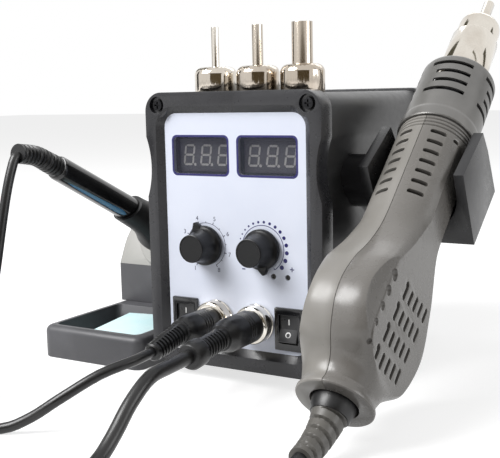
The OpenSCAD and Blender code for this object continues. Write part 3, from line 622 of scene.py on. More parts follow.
def noise(scale, detail):
    """A noise from 0 to 1 on the stretched place."""
    node = set_in(add(surface, "ShaderNodeTexNoise"), Vector=along.outputs[0], Scale=scale, Detail=detail)
    return node.outputs["Fac"]


GLOSS_PER_METRE, TONE_PER_METRE = 260, 38
ends = add(surface, "NodeGroupInput").outputs
along = set_in(add(surface, "ShaderNodeVectorMath", operation="MULTIPLY"), ends["Vector"], ends["Stretch"])
fine = noise(work("DIVIDE", 1000, ends["Grain"]), 3)
middle = noise(GLOSS_PER_METRE, 4)
slow = noise(TONE_PER_METRE, 3)
patch = set_in(add(surface, "ShaderNodeMapRange", clamp=True), From_Min=0.42, From_Max=0.66, Value=slow)
shade = work("ADD", work("MULTIPLY", fine, 0.6), work("MULTIPLY", slow, 0.4))
shade = work("MULTIPLY_ADD", work("SUBTRACT", shade, 0.5), ends["Tone"], 1)
coloured = add(surface, "ShaderNodeMix", data_type="RGBA")
share = work("MULTIPLY", patch.outputs[0], ends["Patches"])
for index, value in ((0, share), (6, ends["Colour"]), (7, ends["Second colour"])):
    feed(coloured.inputs[index], value)
toned = set_in(add(surface, "ShaderNodeVectorMath", operation="SCALE"), coloured.outputs[2], Scale=shade)
change = work("SUBTRACT", work("ADD", middle, slow), 1)
set_in(add(surface, "NodeGroupOutput"), Colour=toned.outputs[0],
       Roughness=work("MULTIPLY_ADD", change, ends["Uneven"], ends["Gloss"]),
       Height=work("ADD", fine, work("MULTIPLY", middle, 0.3)))

# %% A finish from the group
FINISH = {}


def finish(slot, colour, second, gloss, grain, depth, patches, tone=0.2, uneven=0.15, stretch=(1, 1, 1),
           **sockets):
    """A finish by its slot: its colour and second colour, roughness, grain and depth in
    millimetres, the share of the second colour, and plain settings of the shader."""
    FINISH[slot] = bpy.data.materials.new(slot)
    tree = tree_of(FINISH[slot])
    place = add(tree, "ShaderNodeTexCoord").outputs["Object"]
    worked = set_in(add(tree, "ShaderNodeGroup", node_tree=surface), Vector=place, Stretch=stretch,
                    Colour=linear(colour), Second_colour=linear(second), Grain=grain, Tone=tone,
                    Gloss=gloss, Uneven=uneven, Patches=patches).outputs
    bump = set_in(add(tree, "ShaderNodeBump"), Distance=depth * MM, Height=worked["Height"])
    shader = set_in(add(tree, "ShaderNodeBsdfPrincipled"), Base_Color=worked["Colour"],
                    Roughness=worked["Roughness"], Normal=bump.outputs[0], **sockets)
    set_in(add(tree, "ShaderNodeOutputMaterial"), Surface=shader.outputs[0])


# %% Plastics, paint and rubber
finish("case_coat", (40, 40, 41), (50, 50, 49), 0.36, 0.5, 0.03, 0.5)
finish("frame_plastic", (38, 38, 41), (58, 58, 61), 0.28, 0.35, 0.015, 0.4)
finish("cradle_plastic", (34, 34, 36), (44, 44, 46), 0.3, 0.35, 0.012, 0.4)
finish("panel_print", (224, 229, 243), (216, 222, 238), 0.35, 0.6, 0.004, 0.5, tone=0.03, uneven=0.1,
       Coat_Weight=0.25, Coat_Roughness=0.15)
finish("black_gloss", (16, 16, 18), (30, 30, 34), 0.2, 0.5, 0.004, 0.3, uneven=0.12, Coat_Weight=0.3,
       Coat_Roughness=0.08)
finish("black_plastic", (12, 12, 14), (22, 22, 24), 0.32, 0.3, 0.012, 0.4, Specular_IOR_Level=0.3)
finish("handle_plastic", (132, 129, 124), (143, 140, 136), 0.32, 0.35, 0.012, 0.5, tone=0.12)
# The right half shell's finish is darker than the left one's: painted shade for the side of the handle that
# faces away from the lamps.
finish("handle_right", (110, 107, 103), (119, 116, 113), 0.27, 0.35, 0.012, 0.5, tone=0.12)
finish("cord_rubber", (22, 22, 23), (44, 43, 42), 0.32, 0.5, 0.03, 0.5, tone=0.3)
finish("grip_rubber", (26, 26, 28), (40, 40, 41), 0.5, 0.35, 0.03, 0.5, tone=0.3)
finish("foot_rubber", (26, 26, 26), (60, 58, 55), 0.7, 0.5, 0.05, 0.4, tone=0.3)
finish("stand_plastic", (76, 76, 79), (98, 98, 102), 0.42, 0.45, 0.03, 0.5)
finish("display_face", (112, 111, 114), (100, 100, 104), 0.5, 0.3, 0.005, 0.5)
finish("board_green", (38, 92, 52), (70, 120, 66), 0.4, 2.4, 0.03, 0.7, tone=0.5, Coat_Weight=0.3)
finish("heater_ceramic", (232, 228, 216), (206, 196, 176), 0.6, 0.3, 0.03, 0.5)
finish("sponge_foam", (224, 250, 252), (206, 244, 248), 0.95, 1.6, 0.3, 0.6, tone=0.12)

# %% Metals
streaks = (1, 1, 0.06)
finish("nozzle_chrome", (226, 220, 210), (150, 128, 104), 0.1, 0.9, 0.004, 0.5, tone=0.25, uneven=0.12,
       stretch=streaks, Metallic=1.0)
finish("bright_metal", (232, 229, 222), (196, 184, 166), 0.12, 0.6, 0.004, 0.5, tone=0.12, uneven=0.12,
       Metallic=1.0)
finish("cap_metal", (118, 117, 115), (132, 130, 127), 0.33, 0.5, 0.012, 0.5, Metallic=0.55)
finish("screw_steel", (34, 34, 36), (70, 70, 74), 0.3, 0.3, 0.006, 0.5, Metallic=0.8)
finish("core_iron", (120, 106, 80), (80, 72, 60), 0.45, 0.5, 0.05, 0.6, tone=0.5, stretch=(1, 12, 1),
       Metallic=0.6)
finish("plain_steel", (170, 172, 174), (140, 142, 146), 0.3, 0.5, 0.01, 0.5, Metallic=1.0)
finish("trimmer_brass", (22, 20, 17), (34, 30, 22), 0.45, 0.4, 0.01, 0.5)
finish("tip_copper", (190, 120, 84), (96, 84, 90), 0.3, 0.5, 0.01, 0.8, tone=0.3, stretch=(1, 0.3, 1),
       Metallic=1.0)
print(len(FINISH), "finishes")

# %% Smoked window
finish("smoked_window", (46, 48, 68), (46, 48, 68), 0.1, 3, 0.002, 0, tone=0.05, uneven=0.05, Alpha=0.32,
       Coat_Weight=0.5, Coat_Roughness=0.05)

# %% The CAD nodes put on their finishes
for part in frame["record"]["subparts"]:
    node = bpy.data.objects[part["node"]]
    node.data.materials.clear()
    node.data.materials.append(FINISH[part["material_slot"]])
for cord in (*iron_tubes, *air_tubes):
    cord.data.materials.append(FINISH["cord_rubber"])

# %% [markdown]
# ## Pieces that keep their CAD shape
#
# Many pieces already have the right shape, but their edges are mathematically sharp, and no
# real edge is. A sharp edge catches no light, so the eye reads it as a toy. Such a piece is
# copied from the CAD node, merged into one clean mesh, and its edges are rounded a little.
# The copy then stands for the node. The tightest place of a mesh limits all its edges, so
# the sleeve, the bezel, the rear frame, the case screws, the cradle and the grip end up with
# a rounding of only a few micrometres, and so do the handle's shells and its cap.

# %% Dressing a piece
def done(piece, body, nodes=(), slot=None, finish_of=None, angle=32):
    """Smooths a piece, gives it its finish and body, and hides the nodes that it stands for."""
    only(piece)
    bpy.ops.object.shade_smooth_by_angle(angle=radians(angle))
    if finish_of or not piece.data.materials:
        piece.data.materials.clear()
        piece.data.materials.append(FINISH[finish_of or slot])
    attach(piece, body)
    if nodes:
        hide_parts(*nodes)
    print(piece.name, len(piece.data.polygons), "faces")
    return piece


SLOT_OF = {part["node"]: part["material_slot"] for part in frame["record"]["subparts"]}
BODY_OF = {node: body for body, nodes in frame["record"]["behaviour"]["bodies"].items() for node in nodes}


def from_cad(node, width, segments=2, angle=28, flat=1.0):
    """A copy of a CAD node as one clean mesh, with its sharp edges rounded; in metres."""
    only(bpy.data.objects[node])
    bpy.ops.object.duplicate(linked=False)
    piece = named(bpy.context.object, node + "_rounded")
    edit(piece)
    bpy.ops.mesh.remove_doubles(threshold=0.000002)
    bpy.ops.mesh.dissolve_limited(angle_limit=radians(flat))
    leave()
    piece.data.materials.clear()
    return soften(piece, width * MM, segments, angle) if width else piece


def rounded_node(node, width, finish_of=None, **settings):
    piece = from_cad(node, width, **settings)
    return done(piece, BODY_OF[node], [node], SLOT_OF[node], finish_of)


def two_finishes(piece, first, second, chosen):
    """Gives a piece two finishes, the second one where a face is chosen."""
    piece.data.materials.clear()
    for slot in (first, second):
        piece.data.materials.append(FINISH[slot])
    for face in piece.data.polygons:
        face.material_index = int(chosen(face))


# %% Rounded copies
rounded_node("cradle", 0.8, "cradle_plastic", segments=3)
for node in ("front_bezel", "rear_frame", "case_sleeve"):
    rounded_node(node, 0.4, flat=0.02)
for node, width in (("feet", 0.8), ("rear_panel", 0.15), ("mains_inlet", 0.3), ("sponge", 1.2),
                    ("case_screws", 0.15), ("iron_barrel", 0.3), ("narrow_spare_nozzle", 0.15),
                    ("medium_spare_nozzle", 0.15), ("nozzle_posts", 0.2), ("panel_sockets", 0.15),
                    ("iron_tip", 0.1), ("cradle_screws", 0.1), ("transformer", 0.3),
                    ("wide_spare_nozzle", 0.15), ("fitted_nozzle", 0.15)):
    rounded_node(node, width)

# %% [markdown]
# ## The hot air handle
#
# The handle is two moulded half shells that meet along the middle. The pod at the bottom
# holds the fan, and it has a crowned rim and flat sides, while the barrel above is round.
# No primitive comes near this shape, and a subdivided cube would lose the crisp line
# between the rim and the flat side. So the shell is a loft: a section at each station along
# the axis, joined to the next one. Each section is a rounded curve whose sides are cut flat
# at the width of the pod. Near the rim the flat side drops by half a millimetre at a ridge
# and then slants inwards, and each section has points exactly there, so that the ridge and
# the rim's corner run on as clean lines. A second loft inside makes the wall.

# %% Outline of the handle
NECK_R = 15.8
TAIL_R = 16.8
TAIL_S = -1.2
BARREL_R = 18.5
POD_HALF = 16
CAP_S = 150
WALL = 2.4


def profile(points):
    """Smooth heights over a line of stations, as a function of the station."""
    line = eased([(s, n, 0) for s, n in points], 8)

    def height(s):
        for a, b in zip(line, line[1:]):
            if a.x <= s <= b.x:
                return a.y + (b.y - a.y) * (s - a.x) / max(b.x - a.x, 1e-6)
        return line[0].y if s < line[0].x else line[-1].y

    return height


upper = profile([
    (4, NECK_R), (8, 16.8), (12, 19.6), (16, 24.5), (21.3, 28.6), (28.9, 32.4), (39, 33.2), (51, 30),
    (60, 25.8), (68.6, 22.2), (80, 19.3), (92, BARREL_R), (104, BARREL_R)])
lower = profile([
    (4, NECK_R), (9, 16.8), (14.7, 21.2), (21.8, 28.2), (32.5, 33.2), (43.6, 35.8), (52, 34.3),
    (57.6, 32.2), (63, 30.5), (69.5, 28.6), (76, 25), (84, 20.6), (92, BARREL_R), (104, BARREL_R)])
half_width = profile([
    (4, NECK_R), (10, 17), (18, 18.2), (30, 17.8), (66, 17.8), (78, 18.2), (92, BARREL_R), (104, BARREL_R)])
power = profile([
    (4, 2), (12, 2.6), (22, 4.6), (34, 5.4), (52, 5.2), (62, 4.4), (72, 3.3), (82, 2.4), (90, 2), (104, 2)])
flat_at = profile([(4, 17.5), (12, 16.6), (20, POD_HALF), (80, POD_HALF), (92, 16.4), (104, 16.4)])
ridge_at = profile([
    (4, 12), (12, 15.5), (18, 20.2), (25, 23.2), (52, 23.2), (62, 21.8), (72, 18.8), (82, 17.5), (104, 17.5)])
ridge_high = profile([(4, 0), (9, 0), (15, 0.5), (74, 0.5), (84, 0), (104, 0)])
slant_at = profile([(4, 0), (10, 0.1), (16, 0.3), (72, 0.3), (84, 0), (104, 0)])


# %% One section
RIDGE_SPREAD = 0.3
SMALLEST_TURN = radians(20)
SIDE_STEPS, RIM_STEPS = 10, 36


def signed_power(value, exponent):
    return math.copysign(abs(value) ** exponent, value)


def section(s, sunk=0.0):
    """One section of the handle, drawn smaller by the wall's thickness for the inside."""
    high, low = upper(s) - sunk, lower(s) - sunk
    half = half_width(s) - sunk
    flat = min(flat_at(s) - sunk, half)
    exponent = power(s)
    ridge, step, slant = ridge_at(s), ridge_high(s), slant_at(s)

    def place(turn):
        n = (high if sin(turn) > 0 else low) * signed_power(sin(turn), 2 / exponent)
        limit = flat - step * min(max((n - ridge) / RIDGE_SPREAD, 0), 1) - slant * max(0, n - ridge)
        x = half * signed_power(cos(turn), 2 / exponent)
        return max(-limit, min(limit, x)), -n, s

    def turn_at(n):
        return math.asin(min(n / high, 1) ** (exponent / 2))

    # the corner is where the curve leaves the flat side, and halving its range finds it
    first, last = 0.0, pi / 2
    for _ in range(40):
        half_way = (first + last) / 2
        free = half * signed_power(cos(half_way), 2 / exponent)
        first, last = (half_way, last) if free > place(half_way)[0] + 1e-6 else (first, half_way)
    corner = max(first, SMALLEST_TURN)
    crease = max(math.acos(min((flat / half) ** (exponent / 2), 1)), SMALLEST_TURN)
    foot = min(turn_at(ridge), corner * 0.8)
    top = max(min(turn_at(ridge + RIDGE_SPREAD), corner * 0.9), foot + 0.01)
    right_side = [-crease + (crease + foot) * k / SIDE_STEPS for k in range(SIDE_STEPS)]
    right_side += [foot, top, top + (corner - top) / 3, top + (corner - top) * 2 / 3]
    turns = right_side + [corner + (pi - 2 * corner) * k / RIM_STEPS for k in range(RIM_STEPS + 1)]
    turns += [pi - turn for turn in reversed(right_side[1:])]
    turns += [pi + crease + (pi - 2 * crease) * k / RIM_STEPS for k in range(RIM_STEPS)]
    return [place(turn) for turn in turns]


def loft(name, rings):
    """A closed solid through rings of equally many points."""
    mesh = bpy.data.meshes.new(name)
    count = len(rings[0])
    faces = [tuple(reversed(range(count))), tuple((len(rings) - 1) * count + k for k in range(count))]
    for i in range(len(rings) - 1):
        for k in range(count):
            after = (k + 1) % count
            faces.append((i * count + k, i * count + after, (i + 1) * count + after, (i + 1) * count + k))
    mesh.from_pydata([p for ring in rings for p in ring], [], faces)
    piece = bpy.data.objects.new(name, mesh)
    bpy.context.collection.objects.link(piece)
    edit(piece)
    bpy.ops.mesh.normals_make_consistent(inside=False)
    leave()
    return piece


def round_section(s, radius):
    """A round section with the same count of points as the others."""
    return [(x * radius / math.hypot(x, y), y * radius / math.hypot(x, y), s) for x, y, _ in section(104)]


# %% Shell and wall
NECK_BORE = 10.5
RING_AT, RING_PITCH, RING_WIDE, RING_DEEP = 142.8, 2.2, 1.1, 0.9
RIM_DEEP = 1.1
STATION_STEP = 1.75
stations = [4 + STATION_STEP * k for k in range(52)] + [98, 110, 125, 139]
outside = [round_section(TAIL_S, TAIL_R - 0.5), round_section(TAIL_S + 0.5, TAIL_R),
           round_section(TAIL_S + 1.6, TAIL_R), round_section(TAIL_S + 3.2, NECK_R + 0.3)]
outside += [section(s) for s in stations]
outside.append(round_section(139.4, BARREL_R))
for k in range(3):
    start = RING_AT + RING_PITCH * k
    outside += [round_section(start, BARREL_R), round_section(start + 0.35, BARREL_R - RING_DEEP),
                round_section(start + 0.75, BARREL_R - RING_DEEP), round_section(start + RING_WIDE, BARREL_R)]
outside += [round_section(CAP_S - 0.6, BARREL_R), round_section(CAP_S - 0.5, BARREL_R - RIM_DEEP),
            round_section(CAP_S + 8, BARREL_R - RIM_DEEP)]
shell = loft("handle_shell", outside)
inside = [round_section(TAIL_S - 2, NECK_BORE), round_section(9, NECK_BORE), round_section(11, 12)]
inside += [section(s, WALL) for s in stations if s > 13]
inside += [round_section(141.5, BARREL_R - WALL), round_section(CAP_S + 9, BARREL_R - WALL)]
room = loft("handle_room", inside)
carve(shell, [room])


# %% Slots
def slot_cutter(name, width, height, start, end):
    """A bar with rounded ends that lies across and reaches from one depth to another."""
    return plate(name, width, height, min(width, height) * 0.46, start, end, segments=5)


GRIP_TURN, GRIP_FIRST, GRIP_PITCH = 26.5, 100.9, 6.45
ROW_PITCH, ROW_SHIFT, SLOT_PITCH, SLOT_RISE = 12, 1.8, 6.4, 1.9
cutters = []
grip_slot = slot_cutter("grip_slot", 8, 2.3, -22, -14)
for side in (-1, 1):
    for k in range(7):
        place = about("Z", side * GRIP_TURN)
        place = place @ shifted(0, 0, GRIP_FIRST + GRIP_PITCH * k)
        cutters.append(copy_of(grip_slot, "grip_slot_cut", place))
bpy.data.objects.remove(grip_slot)
small_slot = slot_cutter("small_slot", 3.4, 2, -22, -14)
cutters.append(move(small_slot, about("Z", 56) @ shifted(0, 0, 139.4)))
air_slot = slot_cutter("air_slot", 2.6, 7.8, -4, 8)
SIDEWAYS = about("Z", 90) @ about("Y", 4)
for row in range(4):
    for k in range(5):
        short = 0.7 if row == 0 and k == 0 else 1
        rise = 16 + ROW_PITCH * row + SLOT_RISE * k + 4 * (1 - short)
        place = shifted(POD_HALF, ROW_SHIFT * row - 12.6 + SLOT_PITCH * k, rise) @ SIDEWAYS
        cutters.append(copy_of(air_slot, "air_slot_cut", place @ Matrix.Diagonal((1, 1, short, 1))))
bpy.data.objects.remove(air_slot)
print(len(cutters), "cutters")
carve(shell, cutters)
print("shell", len(shell.data.polygons), "faces")

# %% Dimples and seam
EYE_R = 1.75
dimples = []
reach = Vector((4, 0, 0))
for row in range(4):
    spot = Vector((POD_HALF, ROW_SHIFT * row - 13, 19.6 + ROW_PITCH * row))
    dimples.append(rod("slot_eye", EYE_R, spot - reach, spot + reach, 24))
for size, spot in ((2.7, (16.4, -21.8, 49.5)), (2.3, (16.3, -22, 41.4)), (1.95, (16.3, -22.2, 33.3)),
                   (1.55, (16.2, -22.4, 25.2)), (1.2, (15, -20.5, 17.1))):
    bpy.ops.mesh.primitive_uv_sphere_add(segments=24, ring_count=12, radius=size, location=spot)
    dimples.append(fresh("dimple"))
carve(shell, dimples)
SEAM = 0.14
ACROSS, UPWARDS, BELOW, BEYOND = 60, 80, -20, 220
left_box = block("left_box", (-ACROSS, -UPWARDS, BELOW), (-SEAM, UPWARDS, BEYOND))
right_box = block("right_box", (SEAM, -UPWARDS, BELOW), (ACROSS, UPWARDS, BEYOND))
right_shell = copy_of(shell, "handle_right")
named(shell, "handle_left")
# The right half wears the darker finish, painted shade for its side away from the lamps.
for half, box, node, look in ((shell, left_box, "handle_left_shell", "handle_plastic"),
                              (right_shell, right_box, "handle_right_shell", "handle_right")):
    carve(half, [box], "INTERSECT")
    soften(half, 0.28, 2, 34)
    move(half, HANDLE)
    done(half, "hot_air_handle", [node], "handle_plastic", look, 24)

# %% [markdown]
# ## The printed panel
#
# The panel is a white plate with print in grey and dark blue: numbers around the left dial,
# dots that grow around the right one, and a rounded frame around each display window. The
# panel itself is a CAD node, and only the marks are made here. Print has next to no
# thickness, so each mark is a thin plate that stands a twentieth of a millimetre
# proud. That keeps its edge sharp at any distance, which a painted texture wouldn't.

# %% Marks on the panel
PRINT = 0.05
AIR_X, HEAT_X, KNOB_Z = -16.7, 15.9, 61.3
WINDOW_X, WINDOW_Z, WINDOW_W, WINDOW_H = 19, 106, 31.7, 18.3
NUMBER_R, TICK_R, SCALE_END = 14.2, 11.1, 150
finish("blue_print", (32, 30, 96), (44, 42, 108), 0.45, 0.3, 0.002, 0.5)
finish("grey_print", (58, 60, 86), (72, 74, 98), 0.5, 0.3, 0.002, 0.5)


def around(x, z, radius, degrees):
    """A place on a ring, clockwise from the top."""
    turn = radians(degrees)
    return x + radius * sin(turn), z + radius * cos(turn)


def letter(mark, x, z, height):
    clear_choice()
    bpy.ops.object.text_add(location=(x, 0, z), rotation=UPRIGHT)
    words = bpy.context.object
    words.data.body = mark
    words.data.size = height * 1.35
    words.data.align_x = "CENTER"
    words.data.align_y = "CENTER"
    words.data.extrude = PRINT
    bpy.ops.object.convert(target="MESH")
    return fresh("mark")


def arc_band(x, z, inner, outer, start, end):
    """A thin curved line of print, from one angle to another."""
    steps = max(2, int(abs(end - start) / 4))
    angles = [start + (end - start) * k / steps for k in range(steps + 1)]
    points = [around(x, z, outer, a) for a in angles] + [around(x, z, inner, a) for a in reversed(angles)]
    return cut_out("band", [(px, -PRINT, pz) for px, pz in points], (0, PRINT, 0))


def stroke(x, z, degrees, near, far, width):
    (ax, az), (bx, bz) = around(x, z, near, degrees), around(x, z, far, degrees)
    across = Vector((bz - az, 0, ax - bx)).normalized() * width / 2
    corners = [Vector((ax, -PRINT, az)) + across, Vector((bx, -PRINT, bz)) + across,
               Vector((bx, -PRINT, bz)) - across, Vector((ax, -PRINT, az)) - across]
    return cut_out("stroke", corners, (0, PRINT, 0))


grey_marks = []
for k in range(8):
    angle = -SCALE_END + 2 * SCALE_END * k / 7
    grey_marks.append(letter(str(k + 1), *around(AIR_X, KNOB_Z, NUMBER_R, angle), 2.3))
    grey_marks.append(stroke(AIR_X, KNOB_Z, angle, TICK_R, 12.4, 0.38))
    if k < 7:
        grey_marks.append(stroke(AIR_X, KNOB_Z, angle + SCALE_END / 7, TICK_R, 11.8, 0.4))
grey_marks.append(arc_band(AIR_X, KNOB_Z, 11.05, 11.3, -SCALE_END, SCALE_END))
blue_marks = [arc_band(HEAT_X, KNOB_Z, 11.45, 11.8, -98, 146), stroke(HEAT_X, KNOB_Z, 146, 10.8, 11.8, 0.35)]
for k in range(-3, 15):
    x, z = around(HEAT_X, KNOB_Z, 13.25, -70.4 + 11 * k + 0.23 * k * k)
    clear_choice()
    bpy.ops.mesh.primitive_cylinder_add(vertices=24, radius=0.36 + 0.055 * k, depth=PRINT,
                                        location=(x, -PRINT / 2, z), rotation=UPRIGHT)
    blue_marks.append(fresh("dot"))
for x, z, wide, high in ((4.9, 50.8, 1.9, 0.5), (31.8, 52.4, 2.3, 0.45), (31.8, 52.4, 0.45, 2.3)):
    blue_marks.append(block("sign", (x - wide / 2, -PRINT, z - high / 2), (x + wide / 2, 0, z + high / 2)))
for x in (-WINDOW_X, WINDOW_X):
    border = plate("border", WINDOW_W + 2, WINDOW_H + 2, 2.9, -PRINT, 0.01, x, WINDOW_Z)
    blue_marks.append(carve(border, [plate("hole", WINDOW_W - 0.1, WINDOW_H - 0.1, 2, -1, 1, x, WINDOW_Z)]))
for pieces, name, ink in ((grey_marks, "dial_numbers", "grey_print"),
                          (blue_marks, "panel_print", "blue_print")):
    done(move(join(pieces, name), PANEL), "station", finish_of=ink)

# %% [markdown]
# ## Displays
#
# Behind each window sits a module with three seven-segment digits. The segments are pale
# even when they are off. One digit is built from seven bars with pointed ends and a dot,
# leans a little, and is then copied. The third digit is cut off by the window's frame.

# %% Digits
DIGIT_H, DIGIT_W, BAR = 10.6, 6.2, 1.05
DIGIT_Y, DIGIT_PITCH, DIGIT_SHIFT = 4.35, 10, 0.7
LEAN = math.tan(radians(8))
finish("segment_white", (250, 248, 240), (232, 230, 222), 0.5, 0.3, 0.002, 0.6)
finish("module_grey", (112, 112, 117), (102, 102, 107), 0.5, 0.3, 0.003, 0.6)


def bar(start, end):
    """A segment from one corner to another, with pointed ends."""
    start, end = Vector(start), Vector(end)
    ahead = (end - start).normalized()
    side = Vector((-ahead.z, 0, ahead.x))
    gap, tip = ahead * 0.2, ahead * BAR / 2
    near, far = start + gap, end - gap
    points = [near, near + tip + side * BAR / 2, far - tip + side * BAR / 2, far,
              far - tip - side * BAR / 2, near + tip - side * BAR / 2]
    return cut_out("bar", [(p.x + p.z * LEAN, DIGIT_Y, p.z) for p in points], (0, 0.1, 0))


half, top = DIGIT_W / 2 - BAR / 2, DIGIT_H / 2 - BAR / 2
corners = [(-half, 0, -top), (half, 0, -top), (half, 0, 0), (half, 0, top), (-half, 0, top), (-half, 0, 0)]
bars = [bar(a, b) for a, b in zip(corners, corners[1:] + corners[:1])] + [bar(corners[5], corners[2])]
bars.append(plate("point", 1.5, 1.5, 0.7, DIGIT_Y, DIGIT_Y + 0.1, half + 1.5 - DIGIT_H / 2 * LEAN, -top, 4))
digit = join(bars, "digit")
digits = []
for x in (-WINDOW_X, WINDOW_X):
    for k in (-1, 0, 1):
        place = shifted(x + DIGIT_SHIFT + DIGIT_PITCH * k, 0, WINDOW_Z)
        digits.append(copy_of(digit, "digit_copy", place))
bpy.data.objects.remove(digit)
done(move(join(digits, "display_digits"), PANEL), "station", finish_of="segment_white")
modules = []
for x in (-WINDOW_X, WINDOW_X):
    body = plate("module", WINDOW_W - 1.6, WINDOW_H - 2, 0.5, DIGIT_Y + 0.1, 14, x, WINDOW_Z, 2)
    modules.append(soften(body, 0.3))
done(move(join(modules, "display_bodies"), PANEL), "station", ["display_modules"], "display_face",
     "module_grey")

# %% [markdown]
# ## Knobs
#
# Each knob is turned from one half section: a flat cap with a thin raised edge, a barrel
# that widens towards the panel, and a flared skirt. A wedge on the skirt points at the
# scale, and it sinks into the skirt so that no gap shows.

# %% Two knobs
def knob(name, spot, pointer, body, node):
    grip = turned(name, [
        (0, 13.75), (6.1, 13.75), (6.25, 13.95), (6.6, 14), (6.85, 13.85), (6.95, 13.5), (7.05, 11.5),
        (7.35, 8), (7.9, 5.4), (8.5, 4.3), (9.3, 3.7), (9.75, 3.3), (10, 2.7), (10, 1.3), (9.8, 1), (3.1, 1),
        (3.1, 12.4), (0, 12.4)], 96)
    corners = [(-2.9, 6), (2.9, 6), (2.6, 9.3), (0.6, 12.4), (-0.6, 12.4), (-2.6, 9.3)]
    wedge = cut_out("wedge", [(x, y, 1.1) for x, y in corners], (0, 0, 3))
    soften(wedge, 0.4, 3)
    move(wedge, about("Z", pointer))
    piece = move(join([grip, wedge], name), out_of(spot, KNOB_Z))
    return done(piece, body, [node], "black_plastic")


knob("air_dial_knob", AIR_X, 21.4, "air_dial", "air_knob")
knob("heat_dial_knob", HEAT_X, -170, "heat_dial", "heat_knob")

# %% [markdown]
# ## Plugs and their rings
#
# A plug is a rubber body with a few fine grooves, a rounded shoulder and a neck that is
# slotted deeply, so that it bends with the cord. The slots are cut in two rows that are
# staggered by half a pitch. The coupling ring is turned from chromed brass, with soft edges
# and a shallow groove near its foot.

# %% Plugs
GROOVE_AT, GROOVE_PITCH, GROOVE_DEEP = 14, 1.9, 0.45


def plug(name, x, radius, grooves, neck_r, length, droop, collar, node, slots):
    line = [(0, 8.3), (radius, 8.3)]
    for k in range(grooves):
        s = GROOVE_AT + GROOVE_PITCH * k
        foot = radius - GROOVE_DEEP
        line += [(radius, s), (foot, s + 0.25), (foot, s + 0.65), (radius, s + 0.9)]
    line += [(radius, PLUG_L - 5.5), (radius - 0.5, PLUG_L - 3), (radius - 1.6, PLUG_L - 1),
             (neck_r + 0.8, PLUG_L + 0.6), (neck_r - 0.2, PLUG_L + 0.8), (0, PLUG_L + 0.8)]
    body = turned(name, line, 72)
    neck_line = [(0, -3), (neck_r, -3), (neck_r, length * 0.62)]
    neck_line += [(neck_r * 0.96, length - 8)] if not collar else []
    neck_line += [(neck_r + 0.95, length - 8.3), (neck_r + 1.1, length - 7.4), (neck_r + 1.1, length - 1.6),
                  (neck_r + 0.3, length - 0.2)] if collar else [(neck_r * 0.86, length - 0.6)]
    neck_line += [(neck_r * 0.7, length), (0, length)]
    neck = turned(name + "_neck", neck_line, 64)
    cuts = []
    reach = length - (11 if collar else 4)
    for k in range(slots):
        s = 2.4 + (reach - 2.4) * k / (slots - 1)
        for side in (0, 1):
            tool = block("tool", (-8, 1.2, s - 0.55), (8, 12, s + 0.55))
            shift = shifted(0, 0, 0.5 * (reach - 2.4) / (slots - 1) * side)
            cuts.append(move(tool, shift @ about("Z", 90 + 180 * side)))
    carve(neck, cuts)
    soften(neck, 0.22, 2, 40)
    move(neck, shifted(0, 0, PLUG_L) @ Matrix.Rotation(droop, 4, "X"))
    inner = turned(name + "_nose", [(0, 1), (5.8, 1), (5.8, 8.4), (0, 8.4)], 48)
    piece = move(join([body, neck, inner], name), out_of(x, SOCKET_Z))
    return done(piece, "station", [node], "cord_rubber", "plug_rubber")


finish("plug_rubber", (18, 18, 19), (28, 28, 29), 0.36, 0.4, 0.02, 0.5, tone=0.3)
plug("iron_lead_plug", IRON_SOCKET_X, 7, 4, 5, IRON_NECK_L, IRON_DROOP, False, "iron_plug", 9)
plug("air_lead_plug", AIR_SOCKET_X, 8, 3, 5.25, AIR_NECK_L, AIR_DROOP, True, "air_plug", 7)


# %% Coupling rings
def coupling_ring(name, x, body, node):
    ring = turned(name, [
        (7.05, 0.3), (9.2, 0.3), (9.5, 0.6), (9.5, 1.7), (9.2, 2), (9.2, 2.3), (9.5, 2.6), (9.5, 6.3),
        (9.3, 7), (8.7, 7.7), (8.1, 8), (6.6, 8), (6.2, 7.7), (6.2, 6.9), (7.05, 6.8)], 96)
    move(ring, out_of(x, SOCKET_Z))
    return done(ring, body, [node], "bright_metal")


coupling_ring("iron_coupling", IRON_SOCKET_X, "iron_ring", "iron_plug_ring")
coupling_ring("air_coupling", AIR_SOCKET_X, "air_ring", "air_plug_ring")

# %% [markdown]
# ## Switches
#
# The rocker is a wedge with a shallow valley between its two faces. Its marks are a line
# for on and a ring for off, printed in pale grey.

# %% Rockers
finish("rocker_face", (40, 40, 41), (56, 56, 58), 0.3, 0.3, 0.006, 0.5)
finish("pale_print", (214, 214, 212), (190, 190, 190), 0.45, 0.3, 0.002, 0.5)
SWITCH_X, SWITCH_Z, SWING, TILT = 30, 23.1, 6.8, radians(11)
FRAME_W, FRAME_H = 15, 21
BODY_HALF_W, BODY_HALF_H = 6.4, 9.4
OPENING_HALF, KEY_HALF = 5.15, 4.95


def opening(x, back, half_high):
    return block("opening", (x - OPENING_HALF, -3, SWITCH_Z - half_high),
                 (x + OPENING_HALF, back, SWITCH_Z + half_high))


housings = []
for x in (-SWITCH_X, SWITCH_X):
    frame_plate = plate("switch_frame", FRAME_W, FRAME_H, 0.6, -1.5, 0.3, x, SWITCH_Z, 3)
    carve(frame_plate, [opening(x, 3, 7)])
    soften(frame_plate, 0.3, 2)
    body = block("switch_body", (x - BODY_HALF_W, 0.1, SWITCH_Z - BODY_HALF_H),
                 (x + BODY_HALF_W, 18, SWITCH_Z + BODY_HALF_H))
    carve(body, [opening(x, 9, 8)])
    housings += [frame_plate, soften(body, 0.3, 2)]
done(move(join(housings, "switch_frames"), PANEL), "station", ["switch_housings"], "black_gloss")


